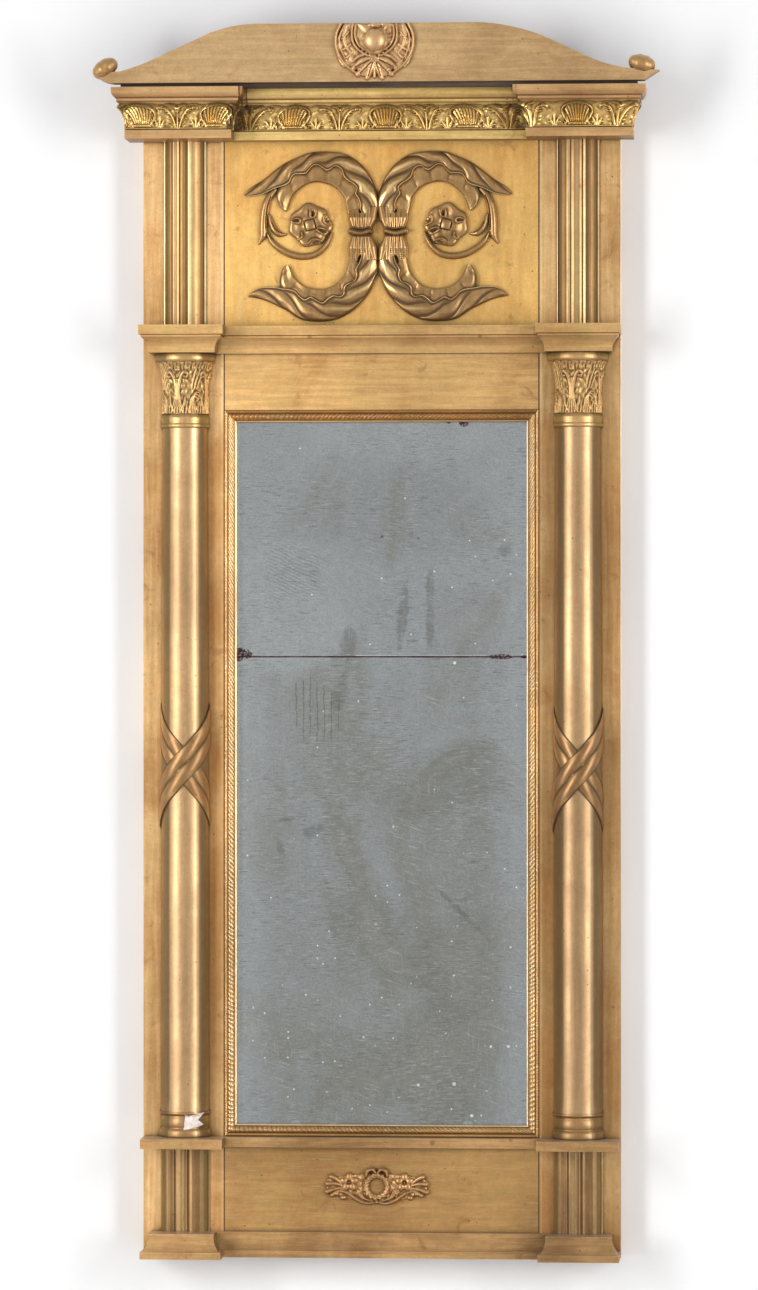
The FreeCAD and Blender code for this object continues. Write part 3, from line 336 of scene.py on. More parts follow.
# the frieze finds its corners from further off, so painted shade and green lie in a halo round the mounts
finish(gilded("frieze_gilding", rgb(252, 203, 120), rgb(204, 148, 76), Joint=1.0, Cloud=1.0, Rub=0.5,
              Green=rgb(204, 182, 104), Greening=1.0, Across=24.0, Along=3.0, reach=0.026), "frieze_panel")
finish(gilded("panel_gilding", rgb(212, 166, 104), rgb(150, 108, 60), Joint=1.0, Cloud=0.9, Rub=0.6,
              **LEVEL), "lower_panel")

# ---------------------------------------------------------------- break-front mouldings
# Cornice, entablature, sill and plinth are run mouldings, mitred round blocks over the columns. They are
# gilded like the boards, with painted shade where they turn in beside the middle.
moulding_gilding = gilded("moulding_gilding", rgb(238, 192, 126), rgb(168, 122, 68), Cloud=0.9, Soot=0.85,
                          Greening=0.8, **LEVEL)
foot_gilding = gilded("foot_gilding", rgb(220, 172, 114), rgb(142, 102, 60), Cloud=1.0, Rub=0.6,
                      Greening=0.7, Soot=0.7, **LEVEL)
for member, material in (("entablature", moulding_gilding), ("sill", foot_gilding),
                         ("plinth", foot_gilding)):
    finish(material, f"{member}_centre", f"{member}_left", f"{member}_right")
# the run under the crest is painted brighter than the blocks, painted light against the crest's shadow
finish(gilded("cornice_run_gilding", rgb(255, 220, 142), rgb(178, 134, 70), Cloud=0.9, Soot=0.9,
              Greening=0.9, Green=rgb(170, 158, 70), **LEVEL), "cornice_centre")
finish(gilded("cornice_block_gilding", rgb(226, 180, 122), rgb(154, 112, 68), Cloud=0.9, Soot=0.9,
              Greening=0.6, Fade=0.6, **LEVEL), "cornice_left", "cornice_right")

# ---------------------------------------------------------------- cornice ornament
# Shells between curled fronds, pressed in composition from a mould, glued into the cornice's hollow and
# mitred round the two blocks. Heights are worked out on a flat sheet, which is then bent into place.
SUNK = -0.3  # outside an ornament its sheet lies just under the board, in mm
NEARBY = 1.6  # how far round a place its surroundings go, in mm
FOOT_RISE, FOOT_MARK = 1.2, 0.8  # dirt and painted shade lie round the foot of a relief, up to this rise and this dark


def smooth(points, count):
    """A curve through points, as so many samples."""
    given = np.asarray(points, float)
    held = np.vstack([2 * given[0] - given[1], given, 2 * given[-1] - given[-2]])
    at = np.linspace(0, len(given) - 1, count)
    first = np.minimum(at.astype(int), len(given) - 2)
    part = (at - first)[:, None]
    a, b, c, d = (held[first + k] for k in range(4))
    return 0.5 * (2 * b + (c - a) * part + (2 * a - 5 * b + 4 * c - d) * part ** 2
                  + (3 * b - a - 3 * c + d) * part ** 3)


def soften(grid, cells):
    """A grid of heights blurred over so many cells each way."""
    for axis in (0, 1, 0, 1):
        edges = [(cells, cells) if axis == k else (0, 0) for k in (0, 1)]
        total = np.cumsum(np.pad(grid, edges, mode="edge"), axis=axis)
        total = np.insert(total, 0, 0, axis=axis)
        width, size = 2 * cells + 1, total.shape[axis]
        grid = (np.take(total, range(width, size), axis) - np.take(total, range(size - width), axis)) / width
    return grid


class Relief:
    """A sheet of heights, in mm, built up from strokes and domes as a mould maker works."""

    def __init__(self, low, high, step=0.5):
        size = [int(round((high[k] - low[k]) / step)) + 1 for k in (0, 1)]
        self.step = step
        self.u, self.v = np.meshgrid(np.linspace(low[0], high[0], size[0]),
                                     np.linspace(low[1], high[1], size[1]))
        self.height = np.full(self.u.shape, SUNK)
        self.painted_shade = np.zeros(self.u.shape)
        self.contrast = 1.25
        self.origin, self.side = (0.0, 0.0), 1

    def start(self, u=0.0, v=0.0, side=1):
        """Places are counted from here from now on, and towards the left where side is -1."""
        self.origin, self.side = (u, v), side

    def at(self, place):
        """A place on the sheet."""
        return self.origin[0] + self.side * place[0], self.origin[1] + place[1]

    def put(self, layer, inside, way):
        """One layer joins the sheet: over what is there, added to it, or cut from it."""
        if way == "over":
            self.height = np.where(inside, np.maximum(self.height, layer), self.height)
        else:
            solid = inside & (self.height > 0)
            changed = self.height + layer if way == "add" else np.maximum(self.height - layer, 0.25)
            self.height = np.where(solid, changed, self.height)

    def stroke(self, points, half, rise, crown=0.5, way="over"):
        """A stroke of the modelling tool. half and rise are one number, or several along the stroke."""
        points = np.array([self.at(point) for point in points], float)
        line = smooth(points, 6 * (len(points) - 1) + 1) if len(points) > 2 else points
        share = np.linspace(0, 1, len(line))
        wide, tall = (np.interp(share, np.linspace(0, 1, np.size(given)), np.atleast_1d(given))
                      for given in (half, rise))
        layer, covered = np.zeros(self.u.shape), np.zeros(self.u.shape, bool)
        for k in range(len(line) - 1):
            start, along = line[k], line[k + 1] - line[k]
            reach = max(wide[k], wide[k + 1])
            low = np.minimum(line[k], line[k + 1]) - reach
            high = np.maximum(line[k], line[k + 1]) + reach
            columns = slice(*np.searchsorted(self.u[0], (low[0], high[0])))
            rows = slice(*np.searchsorted(self.v[:, 0], (low[1], high[1])))
            u, v = self.u[rows, columns] - start[0], self.v[rows, columns] - start[1]
            part = np.clip((u * along[0] + v * along[1]) / max(along @ along, 1e-9), 0, 1)
            away = np.hypot(u - part * along[0], v - part * along[1])
            width = wide[k] + part * (wide[k + 1] - wide[k])
            near = np.clip(1 - (away / np.maximum(width, 1e-6)) ** 2, 0, 1)
            crest = (tall[k] + part * (tall[k + 1] - tall[k])) * near ** crown
            layer[rows, columns] = np.maximum(layer[rows, columns], crest)
            covered[rows, columns] |= near > 0
        self.put(layer, covered, way)

    def dome(self, centre, radii, rise, turn=0.0, crown=0.5, way="over"):
        """An oval boss, or with way="cut" an oval hollow."""
        turned = math.radians(turn * self.side)
        middle = self.at(centre)
        u, v = self.u - middle[0], self.v - middle[1]
        x = (u * math.cos(turned) + v * math.sin(turned)) / radii[0]
        y = (v * math.cos(turned) - u * math.sin(turned)) / radii[1]
        near = np.clip(1 - x ** 2 - y ** 2, 0, 1)
        self.put(rise * near ** crown, near > 0, way)

    def crevices(self):
        """How far each place lies under its surroundings, to 1, or stands over them, to -1."""
        raised = np.maximum(self.height, 0)
        # places under their surroundings take painted shade, and those that stand over them a pale line,
        # partly wear and partly painted highlight
        around = soften(raised, max(1, int(round(NEARBY / self.step))))
        foot = np.clip(1 - self.height / FOOT_RISE, 0, 1) * FOOT_MARK
        return np.clip(np.maximum((around - raised) * self.contrast, foot) + self.painted_shade, -1, 1)


def shell_of(front, back, crevice, kept=None, flip=False):
    """A closed shell between two grids of points: (points, faces, crevices). kept masks the cells."""
    rows, columns = front.shape[:2]
    kept = np.ones((rows - 1, columns - 1), bool) if kept is None else kept
    index = np.arange(rows * columns).reshape(rows, columns)
    under = index + rows * columns
    full = np.pad(kept, 1)
    i, j = np.nonzero(kept)
    faces = [np.stack([index[i, j], index[i, j + 1], index[i + 1, j + 1], index[i + 1, j]], -1),
             np.stack([under[i, j], under[i + 1, j], under[i + 1, j + 1], under[i, j + 1]], -1)]
    for di, dj, a, b in ((-1, 0, (0, 0), (0, 1)), (0, 1, (0, 1), (1, 1)), (1, 0, (1, 1), (1, 0)),
                         (0, -1, (1, 0), (0, 0))):
        open_side = ~full[i + 1 + di, j + 1 + dj]
        m, n = i[open_side], j[open_side]
        faces.append(np.stack([index[m + b[0], n + b[1]], index[m + a[0], n + a[1]],
                               under[m + a[0], n + a[1]], under[m + b[0], n + b[1]]], -1))
    faces = np.concatenate(faces)
    used, renumbered = np.unique(faces, return_inverse=True)
    points = np.concatenate([front.reshape(-1, 3), back.reshape(-1, 3)])[used]
    marks = np.concatenate([crevice.ravel(), np.ones(rows * columns)])[used]
    faces = renumbered.reshape(faces.shape)
    return points, faces[:, ::-1] if flip else faces, marks


def laid(relief, place, flip=False):
    """A relief bent into place; place takes u, v and height, and gives x, y and z."""
    height = relief.height
    solid = height > 0
    kept = solid[:-1, :-1] | solid[1:, :-1] | solid[:-1, 1:] | solid[1:, 1:]
    front = np.stack(place(relief.u, relief.v, height), -1)
    back = np.stack(place(relief.u, relief.v, np.full(height.shape, SUNK - 0.3)), -1)
    return shell_of(front, back, relief.crevices(), kept, flip)


def cast(name, shells, material, nodes, body="frame", crease=60):
    """One piece from closed shells, in millimetres, in the place of CAD nodes."""
    points, faces, marks, count = [], [], [], 0
    for shell_points, shell_faces, shell_marks in shells:
        points.append(shell_points)
        faces.append(shell_faces + count)
        marks.append(shell_marks)
        count += len(shell_points)
    mesh = bpy.data.meshes.new(name)
    mesh.from_pydata((np.concatenate(points) * MM).tolist(), [], np.concatenate(faces).tolist())
    mark = mesh.attributes.new("crevice", "FLOAT", "POINT")
    mark.data.foreach_set("value", np.concatenate(marks).astype(np.float32))
    mesh.shade_smooth()
    mesh.set_sharp_from_angle(angle=math.radians(crease))
    mesh.materials.append(material)
    made = bpy.data.objects.new(name, mesh)
    bpy.context.scene.collection.objects.link(made)
    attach(made, body)
    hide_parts(*nodes)


# the cornice's hollow: its circle, in mm out from the setback line and up from the cornice's foot
HOLLOW_CENTRE, HOLLOW_RADIUS, HOLLOW_START = (-20.74, 14.49), 38.0, -6.8
CORNICE_FOOT, BLOCK_FACE, CENTRE_FACE = -28.5, -96.0, -65.0
BLOCK_IN, BLOCK_OUT, BOARD_FACE = 152.25, 301.25, -28.0
# how much of a sheet goes round each part of a block, in mm: its outer return, its face, its inner return
OUTER_RUN, FACE_RUN, INNER_RUN = 58, 129, 31


def hollow(v, height):
    """Setback and level of a point in the hollow, v mm up its curve and so far proud of it."""
    turn = math.radians(HOLLOW_START) + v / HOLLOW_RADIUS
    radius = HOLLOW_RADIUS - height
    return (HOLLOW_CENTRE[0] + radius * np.cos(turn),
            CORNICE_FOOT + HOLLOW_CENTRE[1] + radius * np.sin(turn))


def centre_run(u, v, height):
    """The run over the frieze, between the blocks."""
    setback, z = hollow(v, height)
    return u / (BLOCK_IN + 10) * (BLOCK_IN + setback), CENTRE_FACE + setback, z


def block_run(side):
    """The run round one block: outer return, face and inner return."""
    def place(u, v, height):
        setback, z = hollow(v, height)
        outside, inside = BLOCK_OUT - setback, BLOCK_IN + setback
        face = BLOCK_FACE + setback
        part = np.clip((u + OUTER_RUN) / OUTER_RUN, 0, 1)
        across = np.clip(u / FACE_RUN, 0, 1)
        last = np.clip((u - FACE_RUN) / INNER_RUN, 0, 1)
        x = outside + (inside - outside) * across
        y = np.where(u < 0, BOARD_FACE + (face - BOARD_FACE) * part,
                     np.where(u > FACE_RUN, face + (CENTRE_FACE + setback - face) * last, face))
        return side * x, y, z
    return place


def fluted_shell(sheet, u):
    """A scallop shell on its foot: nine hollow flutes under a thin arched rim."""
    across, up = (sheet.u - u) / 17.6, (sheet.v - 2.5) / 27.5
    narrow = across / (0.62 + 0.38 * np.clip(up, 0, 1))
    dish = narrow ** 2 + (np.clip(up - 0.45, 0, 2) / 0.55) ** 2 < 1
    sheet.put(2.6 + 0.9 * up, dish & (up > 0), "over")
    sheet.start(u)
    for lean in np.linspace(-1, 1, 9):
        flute = [(8.6 * lean, 5.0), (12.0 * lean, 16.5 - 2.6 * lean ** 2),
                 (15.4 * lean, 28.2 - 8.4 * lean ** 2)]
        sheet.stroke(flute, (0.9, 1.25, 1.75), (1.2, 2.0, 1.9), crown=0.7, way="cut")
        sheet.dome((8.6 * lean, 4.4), (1.35, 2.2), 4.4)
    rim = [(17.6 * math.sin(turn), 18.5 + 12.2 * math.cos(turn)) for turn in np.linspace(-1.5, 1.5, 13)]
    sheet.stroke(rim, (1.2, 1.0, 1.0, 1.0, 1.2), (4.0, 4.4, 4.8, 4.4, 4.0))
    for side in (-1, 1):
        sheet.start(u, side=side)
        sheet.stroke([(17.8, 18), (15.6, 11.5), (12.4, 7.5), (14.6, 3.4)], (1.3, 1.9, 1.7, 1.5),
                     (4.2, 3.6, 4.0, 3.6))
        sheet.dome((16.4, 4.6), (3.0, 2.9), 3.9)
        sheet.dome((16.6, 4.8), (1.2, 1.1), 2.6, way="cut")


def fronds(sheet, u):
    """A stem between two arching fronds of three ribs, with an opening blossom on top."""
    sheet.start(u)
    sheet.stroke([(0, 0.8), (0, 22)], (1.5, 1.0), 3.8)
    for side in (-1, 1):
        sheet.start(u, side=side)
        for reach, rise, wide, out in ((19.5, 26.5, 1.5, 4.0), (16.6, 23.0, 1.3, 3.4),
                                       (13.4, 19.6, 1.4, 3.7)):
            sheet.stroke([(2.0, 1.0), (1.5 + 0.22 * reach, 0.5 * rise), (0.6 * reach, 0.9 * rise),
                          (reach, rise)], (1.0, wide, wide, 1.0), (2.6, out, out, out))
        sheet.stroke([(17.5, 27.5), (22.4, 25.6), (21.6, 21.2)], (1.2, 1.5, 1.0), (4.0, 3.8, 2.8))
        sheet.stroke([(1.4, 22), (3.4, 28.0), (8.8, 30.0)], (1.2, 1.9, 1.3), (3.4, 4.9, 4.0))
        for level, wide in ((5.0, 2.3), (9.6, 2.0), (13.8, 1.6)):
            sheet.dome((6.4 + 0.3 * level, level - 1.2), (wide, 1.6), 3.3, turn=35)
    sheet.start(u)
    sheet.dome((0, 25.6), (1.9, 2.6), 4.6)


def cornice_sheet(low, high, shells, stems, mitres):
    """The ornament of one run, on a thin ground of its own that fills the hollow. Painted shade lies thick
    in the mitres, given as (place, amount), and under the fillet."""
    sheet = Relief((low, 0.0), (high, 32.4))
    sheet.painted_shade = 0.7 * np.clip((sheet.v - 26) / 4, 0, 1)
    for place, amount in mitres:
        ragged = 9 + 2.5 * np.sin(sheet.v / 3.1) + 1.5 * np.sin(sheet.v * 1.3 + sheet.u)
        sheet.painted_shade = sheet.painted_shade + amount * np.clip(1.6 - np.abs(sheet.u - place) / ragged, 0, 1)
    waves = 0.45 * np.sin(sheet.u / 2.3 + np.sin(sheet.v / 2.3)) * np.sin(sheet.v / 2.6)
    sheet.height = np.where(sheet.v < 30.5 + 0.8 * np.sin(sheet.u / 4.0), 1.2 + waves, SUNK)
    sheet.stroke([(low, 1.2), (high, 1.2)], 1.3, 2.6)
    # small lobed leaves fill the foot between the larger ones
    places = sorted(shells + stems)
    for left, right in zip(places[:-1], places[1:]):
        sheet.start((left + right) / 2)
        for degrees, long in ((-58, 9.0), (-30, 11.5), (0, 13.5), (30, 11.5), (58, 9.0)):
            aim = math.radians(degrees)
            sheet.stroke([(2 * math.sin(aim), 1.5), (long * 0.6 * math.sin(aim), 1 + long * 0.55),
                          (long * math.sin(aim), 1.5 + long * math.cos(aim))], (1.0, 1.7, 1.0),
                         (2.2, 3.3, 2.6))
    for u in stems:
        fronds(sheet, u)
    for u in shells:
        fluted_shell(sheet, u)
    return sheet


cornice_gold = gilded("cornice_ornament_gold", rgb(255, 218, 142), rgb(152, 112, 54), hidden="relief",
                      Green=rgb(146, 134, 66), Pale=rgb(255, 238, 170), Greening=0.5, Cloud=0.7, Rub=0.35,
                      Sheen=0.8, Gloss=0.06, Fade=0.1)
for part, sheet, place in (
        ("centre", cornice_sheet(-162.25, 162.25, (-96.5, 6.5, 96.5), (-144, -45, 51.5, 141),
                                 ((-162, 1.0), (162, 0.8))), centre_run),
        ("left", cornice_sheet(-58, 160, (20, 109, -30), (64, -4, 131, 156), ((136, 1.1),)), block_run(-1)),
        ("right", cornice_sheet(-58, 160, (67, -30, 150), (18.5, 123), ((140, 0.9),)), block_run(1))):
    cast(f"cast_cornice_ornament_{part}", [laid(sheet, place, flip=part == "right")], cornice_gold,
         [f"cornice_ornament_{part}"])

# ---------------------------------------------------------------- crest board and its ovals
# A shaped pine board stands on the cornice; a turned oval like the end of a roll lies in the hollow at
# each end. The board is gilded on its face and edges.
finish(gilded("crest_gilding", rgb(218, 180, 128), rgb(150, 114, 74), edge=0.1, Cloud=0.8, Greening=0.3,
              Fade=0.45, **LEVEL), "crest_board")
oval_gold = gilded("crest_oval_gold", rgb(204, 162, 104), rgb(128, 92, 52), Greening=0.35)
OVAL_LONG, OVAL_DEEP, OVAL_THICK, OVAL_Y = 30.6, 25.0, 20.2, -80.5


def oval(length, depth, thick, rings=40, sides=56):
    """A turned oval with a shallow bead round its belly, lying along x: (points, faces)."""
    turn = np.linspace(0, 2 * math.pi, sides, endpoint=False)
    points, faces = [], []
    for k in range(rings + 1):
        lean = math.pi * k / rings
        out = math.sin(lean) ** 0.9 * (1 + 0.025 * math.cos(10 * lean)) / 2
        points.append(np.stack([np.full(sides, -math.cos(lean) * length / 2), out * depth * np.cos(turn),
                                out * thick * np.sin(turn)], -1))
    for k in range(rings):
        for n in range(sides):
            here, after = k * sides + n, k * sides + (n + 1) % sides
            faces.append((here, here + sides, after + sides, after))
    return np.concatenate(points), np.array(faces)


for side, x, z, tilt in (("left", -309.4, 51.0, 33), ("right", 297.0, 52.2, -15)):
    points, faces = oval(OVAL_LONG, OVAL_DEEP, OVAL_THICK)
    lean = math.radians(tilt)
    turned = np.stack([points[:, 0] * math.cos(lean) - points[:, 2] * math.sin(lean) + x,
                       points[:, 1] + OVAL_Y,
                       points[:, 0] * math.sin(lean) + points[:, 2] * math.cos(lean) + z], -1)
    cast(f"turned_crest_{side}_oval", [(turned, faces, np.zeros(len(turned)))], oval_gold,
         [f"crest_{side}_roundel"], crease=180)

# ---------------------------------------------------------------- pilasters
# Reeded strips run with a plane and glued to the stiles above and below each column: a round flank each
# side, and narrower reeds between them, not quite alike on the two sides.
COLUMN_X, BOARD = 223.75, -28.0
COLUMNS = (("left", -COLUMN_X), ("right", COLUMN_X))
# (mm across, mm proud, tone): the tone is painted shade above 0, on the flanks and in a quirk, and a painted
# highlight below 0, on the reeds and edges
UPPER_SECTIONS = {"left": [
    (-24.0, 0.4, 0), (-24.0, 2.0, -1), (-22.9, 2.2, -1), (-22.6, 1.2, 1.0), (-21.4, 4.0, 0.75),
    (-19.0, 6.4, 0.65), (-16.0, 8.0, 0.55), (-13.4, 8.2, 0.45), (-12.5, 7.6, -0.6), (-11.8, 7.4, -0.6),
    (-11.2, 7.4, 0.5), (-9.8, 7.8, 0.35), (-8.9, 9.2, -0.3), (-7.6, 9.8, -0.5), (-6.3, 9.2, 0),
    (-5.7, 7.6, 0.9), (-5.0, 8.8, 0), (-4.0, 9.6, -0.5), (-2.6, 9.2, -0.2), (-1.6, 7.8, 0.5),
    (0.0, 6.8, 0.7), (1.8, 6.9, 0.6), (2.9, 8.4, 0.0), (4.4, 9.8, -0.5), (7.4, 10.1, -0.6),
    (10.0, 9.7, -0.3), (12.4, 8.8, 0.1), (15.0, 7.4, 0.35), (17.8, 5.6, 0.5), (20.4, 3.2, 0.65),
    (21.8, 1.2, 0.9), (22.1, 2.2, -0.8), (24.0, 2.0, -1), (24.0, 0.4, 0)], "right": [
    (-24.0, 0.4, 0), (-24.0, 2.0, -1), (-23.0, 2.2, -1), (-22.6, 1.2, 1.0), (-21.0, 4.6, 0.85),
    (-18.0, 6.6, 0.75), (-15.0, 7.6, 0.6), (-13.0, 8.0, 0.3), (-11.2, 8.6, -0.5), (-9.4, 8.6, -0.7),
    (-8.6, 7.6, 0.4), (-7.6, 8.6, 0.0), (-4.6, 9.9, -0.25), (-1.0, 10.1, -0.45), (2.0, 9.8, -0.2),
    (4.4, 8.6, 0.2), (5.2, 7.6, 0.5), (6.0, 8.6, -0.3), (7.4, 9.0, -0.8), (8.4, 8.6, -0.5),
    (9.2, 7.4, 0.5), (12.0, 7.6, 0.4), (15.0, 6.8, 0.45), (18.0, 5.2, 0.55), (20.6, 3.2, 0.7),
    (22.0, 1.2, 0.95), (22.3, 2.2, -0.8), (24.0, 2.0, -1), (24.0, 0.4, 0)]}
LOWER_SECTION = [
    (-27.5, 0.3, 0.8), (-27.0, 3.0, 0.75), (-25.6, 6.0, 0.55), (-23.0, 9.0, 0.4), (-20.0, 10.8, 0.2),
    (-16.0, 11.3, 0.0), (-12.4, 10.4, 0.1), (-11.5, 9.4, 0.4), (-11.0, 8.4, 0.85), (-10.4, 8.8, 0.3),
    (-8.6, 9.6, -0.2), (-5.6, 10.2, -0.45), (-3.0, 10.4, -0.35), (-1.4, 9.6, 0.35), (-0.6, 9.8, 0.0),
    (1.4, 9.8, -0.2), (2.8, 9.2, 0.3), (3.6, 8.2, 0.8), (4.4, 9.0, 0.3), (5.6, 10.2, -0.3),
    (8.4, 11.2, -0.1), (12.0, 11.4, 0.1), (17.0, 10.8, 0.25), (21.4, 8.8, 0.45), (24.6, 6.0, 0.6),
    (26.2, 3.4, 0.9), (26.8, 1.8, 0.9), (27.0, 2.2, -0.8), (27.5, 2.0, -0.8), (27.5, 0.3, 0)]
reed_gilding = gilded("reed_gilding", rgb(200, 157, 101), rgb(112, 74, 40), hidden="relief", Greening=0.2,
                      Cloud=0.6, Dirt=rgb(104, 60, 26), Sheen=0.65)
low_reed_gilding = gilded("low_reed_gilding", rgb(166, 129, 81), rgb(100, 70, 41), hidden="relief",
                          Fade=-0.7, Pale=rgb(214, 184, 128), Green=rgb(150, 132, 64), Greening=0.5,
                          Cloud=0.9, Dirt=rgb(84, 50, 26))


def reeded(x, bottom, top, section, steps=60):
    """A run of one section, a little uneven along its length."""
    rows = np.asarray(section)
    at = np.linspace(0, len(rows) - 1, 4 * len(rows) - 3)
    across, out, tone = (np.interp(at, np.arange(len(rows)), rows[:, k])[None, :] for k in (0, 1, 2))
    level = np.linspace(bottom, top, steps)[:, None]
    uneven = 0.12 * np.sin(level / 31.0 + across / 4.0) * np.clip(out - 2, 0, 1)
    shape = np.ones((steps, across.shape[1]))
    front = np.stack([x + across * shape, BOARD - (out + np.minimum(uneven, 0)) * shape, level * shape], -1)
    back = front.copy()
    back[..., 1] = BOARD
    return shell_of(front, back, tone * shape)


for side, x in COLUMNS:
    for part, section, bottom, top, material in (
            ("upper", UPPER_SECTIONS[side], -238.5, -28.5, reed_gilding),
            ("lower", LOWER_SECTION, -1268.5, -1171.5, low_reed_gilding)):
        cast(f"planed_{side}_{part}_pilaster", [reeded(x, bottom, top, section)], material,
             [f"{side}_{part}_pilaster"], crease=40)

# ---------------------------------------------------------------- cartouche
# A cast oval badge, planted on the middle of the crest: a polished boss in crescent ropes, a scrolled band
# that meets on a bead, leafy cheeks inside an oval rim and a fan of acanthus below.
CREST_FACE = -87.0


def flat_at(x, z, face, mirror=1):
    """Lays a sheet flat on a board: x and z are where its middle goes."""
    def place(u, v, height):
        return x + mirror * u, face - height, z + v
    return place


badge = Relief((-45.2, -30.5), (45.2, 34.5), 0.45)
inside = (badge.u / 43.5) ** 2 + ((badge.v - 6) / 37.0) ** 2 < 1
lobes = 0.9 * np.sin(badge.u / 2.6 + 1.4 * np.sin(badge.v / 5.0)) * np.sin(badge.v / 3.0 + badge.u / 9.0)
badge.height = np.where(inside & (badge.v > -16) & (badge.v < 33 + 0.8 * np.sin(badge.u / 6.0)),
                        2.6 + lobes, SUNK)
badge.contrast = 0.75
rim = [(38, 33), (43, 22), (43.5, 10), (40, -2), (33.5, -12), (24, -20), (19.5, -23)]
for side in (-1, 1):
    badge.start(side=side)
    badge.stroke(rim, (1.9, 1.9, 1.7), (4.6, 5.2, 4.2))
    badge.stroke([(x * 0.9, z * 0.9 + 1.5) for x, z in rim[:5]], (1.2, 1.4, 1.0), (3.4, 4.0, 3.2))
    # leafy cheeks inside the rim
    for points, half, rise in (
            ([(32, 31), (34.5, 20), (32, 8), (26, 0)], (2.6, 3.2, 2.4), (4.2, 5.0, 4.4)),
            ([(29, 24), (36, 16)], (1.6, 2.2), (4.4, 5.4)),
            ([(27, 10), (35, 4)], (1.8, 2.4), (4.0, 5.4)),
            ([(24, 3), (31, -5)], (1.8, 2.4), (3.8, 5.0))):
        badge.stroke(points, half, rise)
    # the fan of acanthus
    badge.dome((9, -15), (12, 11), 4.2, turn=-45, crown=0.3)
    for points, half, rise in (
            ([(2, -8), (8, -14), (19, -24)], (3.6, 5.6, 3.2), (5.6, 6.4, 4.6)),
            ([(5, -6), (14, -9), (24, -17)], (3.2, 4.9, 3.0), (5.4, 6.2, 4.4)),
            ([(1, -9), (4.5, -18), (8.5, -28)], (2.8, 4.4, 2.8), (5.2, 6.0, 4.2)),
            ([(11, -2), (18, -4), (25, -10)], (2.2, 3.0, 1.6), (5.4, 6.4, 4.6))):
        badge.stroke(points, half, rise)
    badge.dome((16.5, -18.5), (3.0, 2.4), 7.2, turn=-40)
    badge.dome((16.5, -18.5), (1.3, 1.0), 1.0, way="cut")
    for vein in ([(3, -10), (16, -23)], [(6, -8), (22, -16)], [(2, -11), (7, -26)]):
        badge.stroke(vein, (0.7, 0.9, 0.5), 1.6, way="cut")
badge.start()
badge.stroke([(0, -8), (0, -27)], (2.2, 1.7), (5.4, 3.8))
# a scrolled band hangs round the boss, and the ropes lie inside it
for side in (-1, 1):
    badge.start(side=side)
    badge.stroke([(24.5, 32), (25.5, 22), (24, 12), (18, 3.5), (9, -2.5), (5, -3.2)], (1.7, 1.9, 1.7),
                 (5.6, 6.4, 6.0))
    badge.stroke([(21.5, 31), (22, 20), (18, 9), (11, 3.5)], (1.5, 1.9, 1.3), (5.2, 6.0, 5.0))
badge.start()
for step in range(15):
    turn = math.radians(-155 + step * 16.5)
    badge.dome((18.4 * math.cos(turn), 14.5 + 17.4 * math.sin(turn)), (1.9, 1.3), 6.6,
               turn=math.degrees(turn) + 35)
badge.dome((0, 14.6), (16.0, 16.0), 3.4, crown=0.2)
badge.dome((0, 14.8), (13.8, 14.0), 8.8, crown=0.55)
badge.dome((-1.5, -6.4), (5.4, 5.2), 7.2, crown=0.4)
badge.dome((-1.5, -6.4), (3.6, 3.4), 2.2, crown=0.3, way="cut")
badge.dome((-1.5, -6.4), (2.2, 2.1), 7.6, crown=0.6)
badge.dome((0.8, 31.2), (7.6, 3.4), 6.0)
badge_gold = gilded("cartouche_gold", rgb(228, 186, 134), rgb(158, 118, 76), hidden="relief", Greening=0.3,
                    Green=rgb(150, 118, 66), Pale=rgb(248, 218, 168), Dirt=rgb(100, 70, 42), Cloud=0.7,
                    Sheen=0.55)
cast("cast_crest_cartouche", [laid(badge, flat_at(-3.5, 65.3, CREST_FACE))], badge_gold,
     ["crest_cartouche"])

# ---------------------------------------------------------------- top board and cleats
# Sawn pine: the two cleats that hold the crest upright behind are bare, yellow-brown with age, and the thin
# board that lies on the cornice is painted almost black, as painted shade in the gap under the crest.


def bare_pine(name, early, late):
    """Old unfinished pine: soft rings along the board, a few dark streaks and dust."""
    material, t = new_material(name)
    place = t.place()
    grain = t.noise(t.stretched(place, 2.0, 60.0, 90.0), 3.0, 6.0, 0.65, 0.4)
    fibre = t.noise(t.stretched(place, 8.0, 300.0, 300.0), 4.0, 3.0, 0.7)
    colour = t.blend(t.ramp(grain, 0.32, 0.7), early, late)
    colour = t.blend(t.ramp(fibre, 0.5, 0.8) * 0.4, colour, rgb(96, 66, 40))
    # dust lies thick only where a face looks up
    dust = t.ramp(t.noise(place, 9.0, 5.0, 0.65), 0.35, 0.7) * t.ramp(t.facing()[2], 0.2, 0.9, 0.15, 1.0)
    colour = t.blend(dust * 0.7, colour, rgb(146, 136, 122))
    t.surface(colour, 0.0, t.ramp(grain, 0.2, 0.8, 0.72, 0.86), fibre, 0.35, 0.0006)
    return material


pine = bare_pine("bare_pine", rgb(172, 136, 92), rgb(138, 104, 68))
finish(pine, "crest_cleats")
# painted shade: the top board is pine coloured almost black
finish(bare_pine("shadow_dark_pine", rgb(66, 46, 32), rgb(36, 24, 18)), "top_board")

# ---------------------------------------------------------------- frieze mounts
# Two mirrored pairs of C-scrolls, carved and planted on the frieze: two long leaves folded back on
# themselves and tied by a collar, a forked stem with a hooked tip, and a rosette with a square nail head.
ROSETTE_X, ROSETTE_Z = {"left": -81.0, "right": 74.0}, -123.5
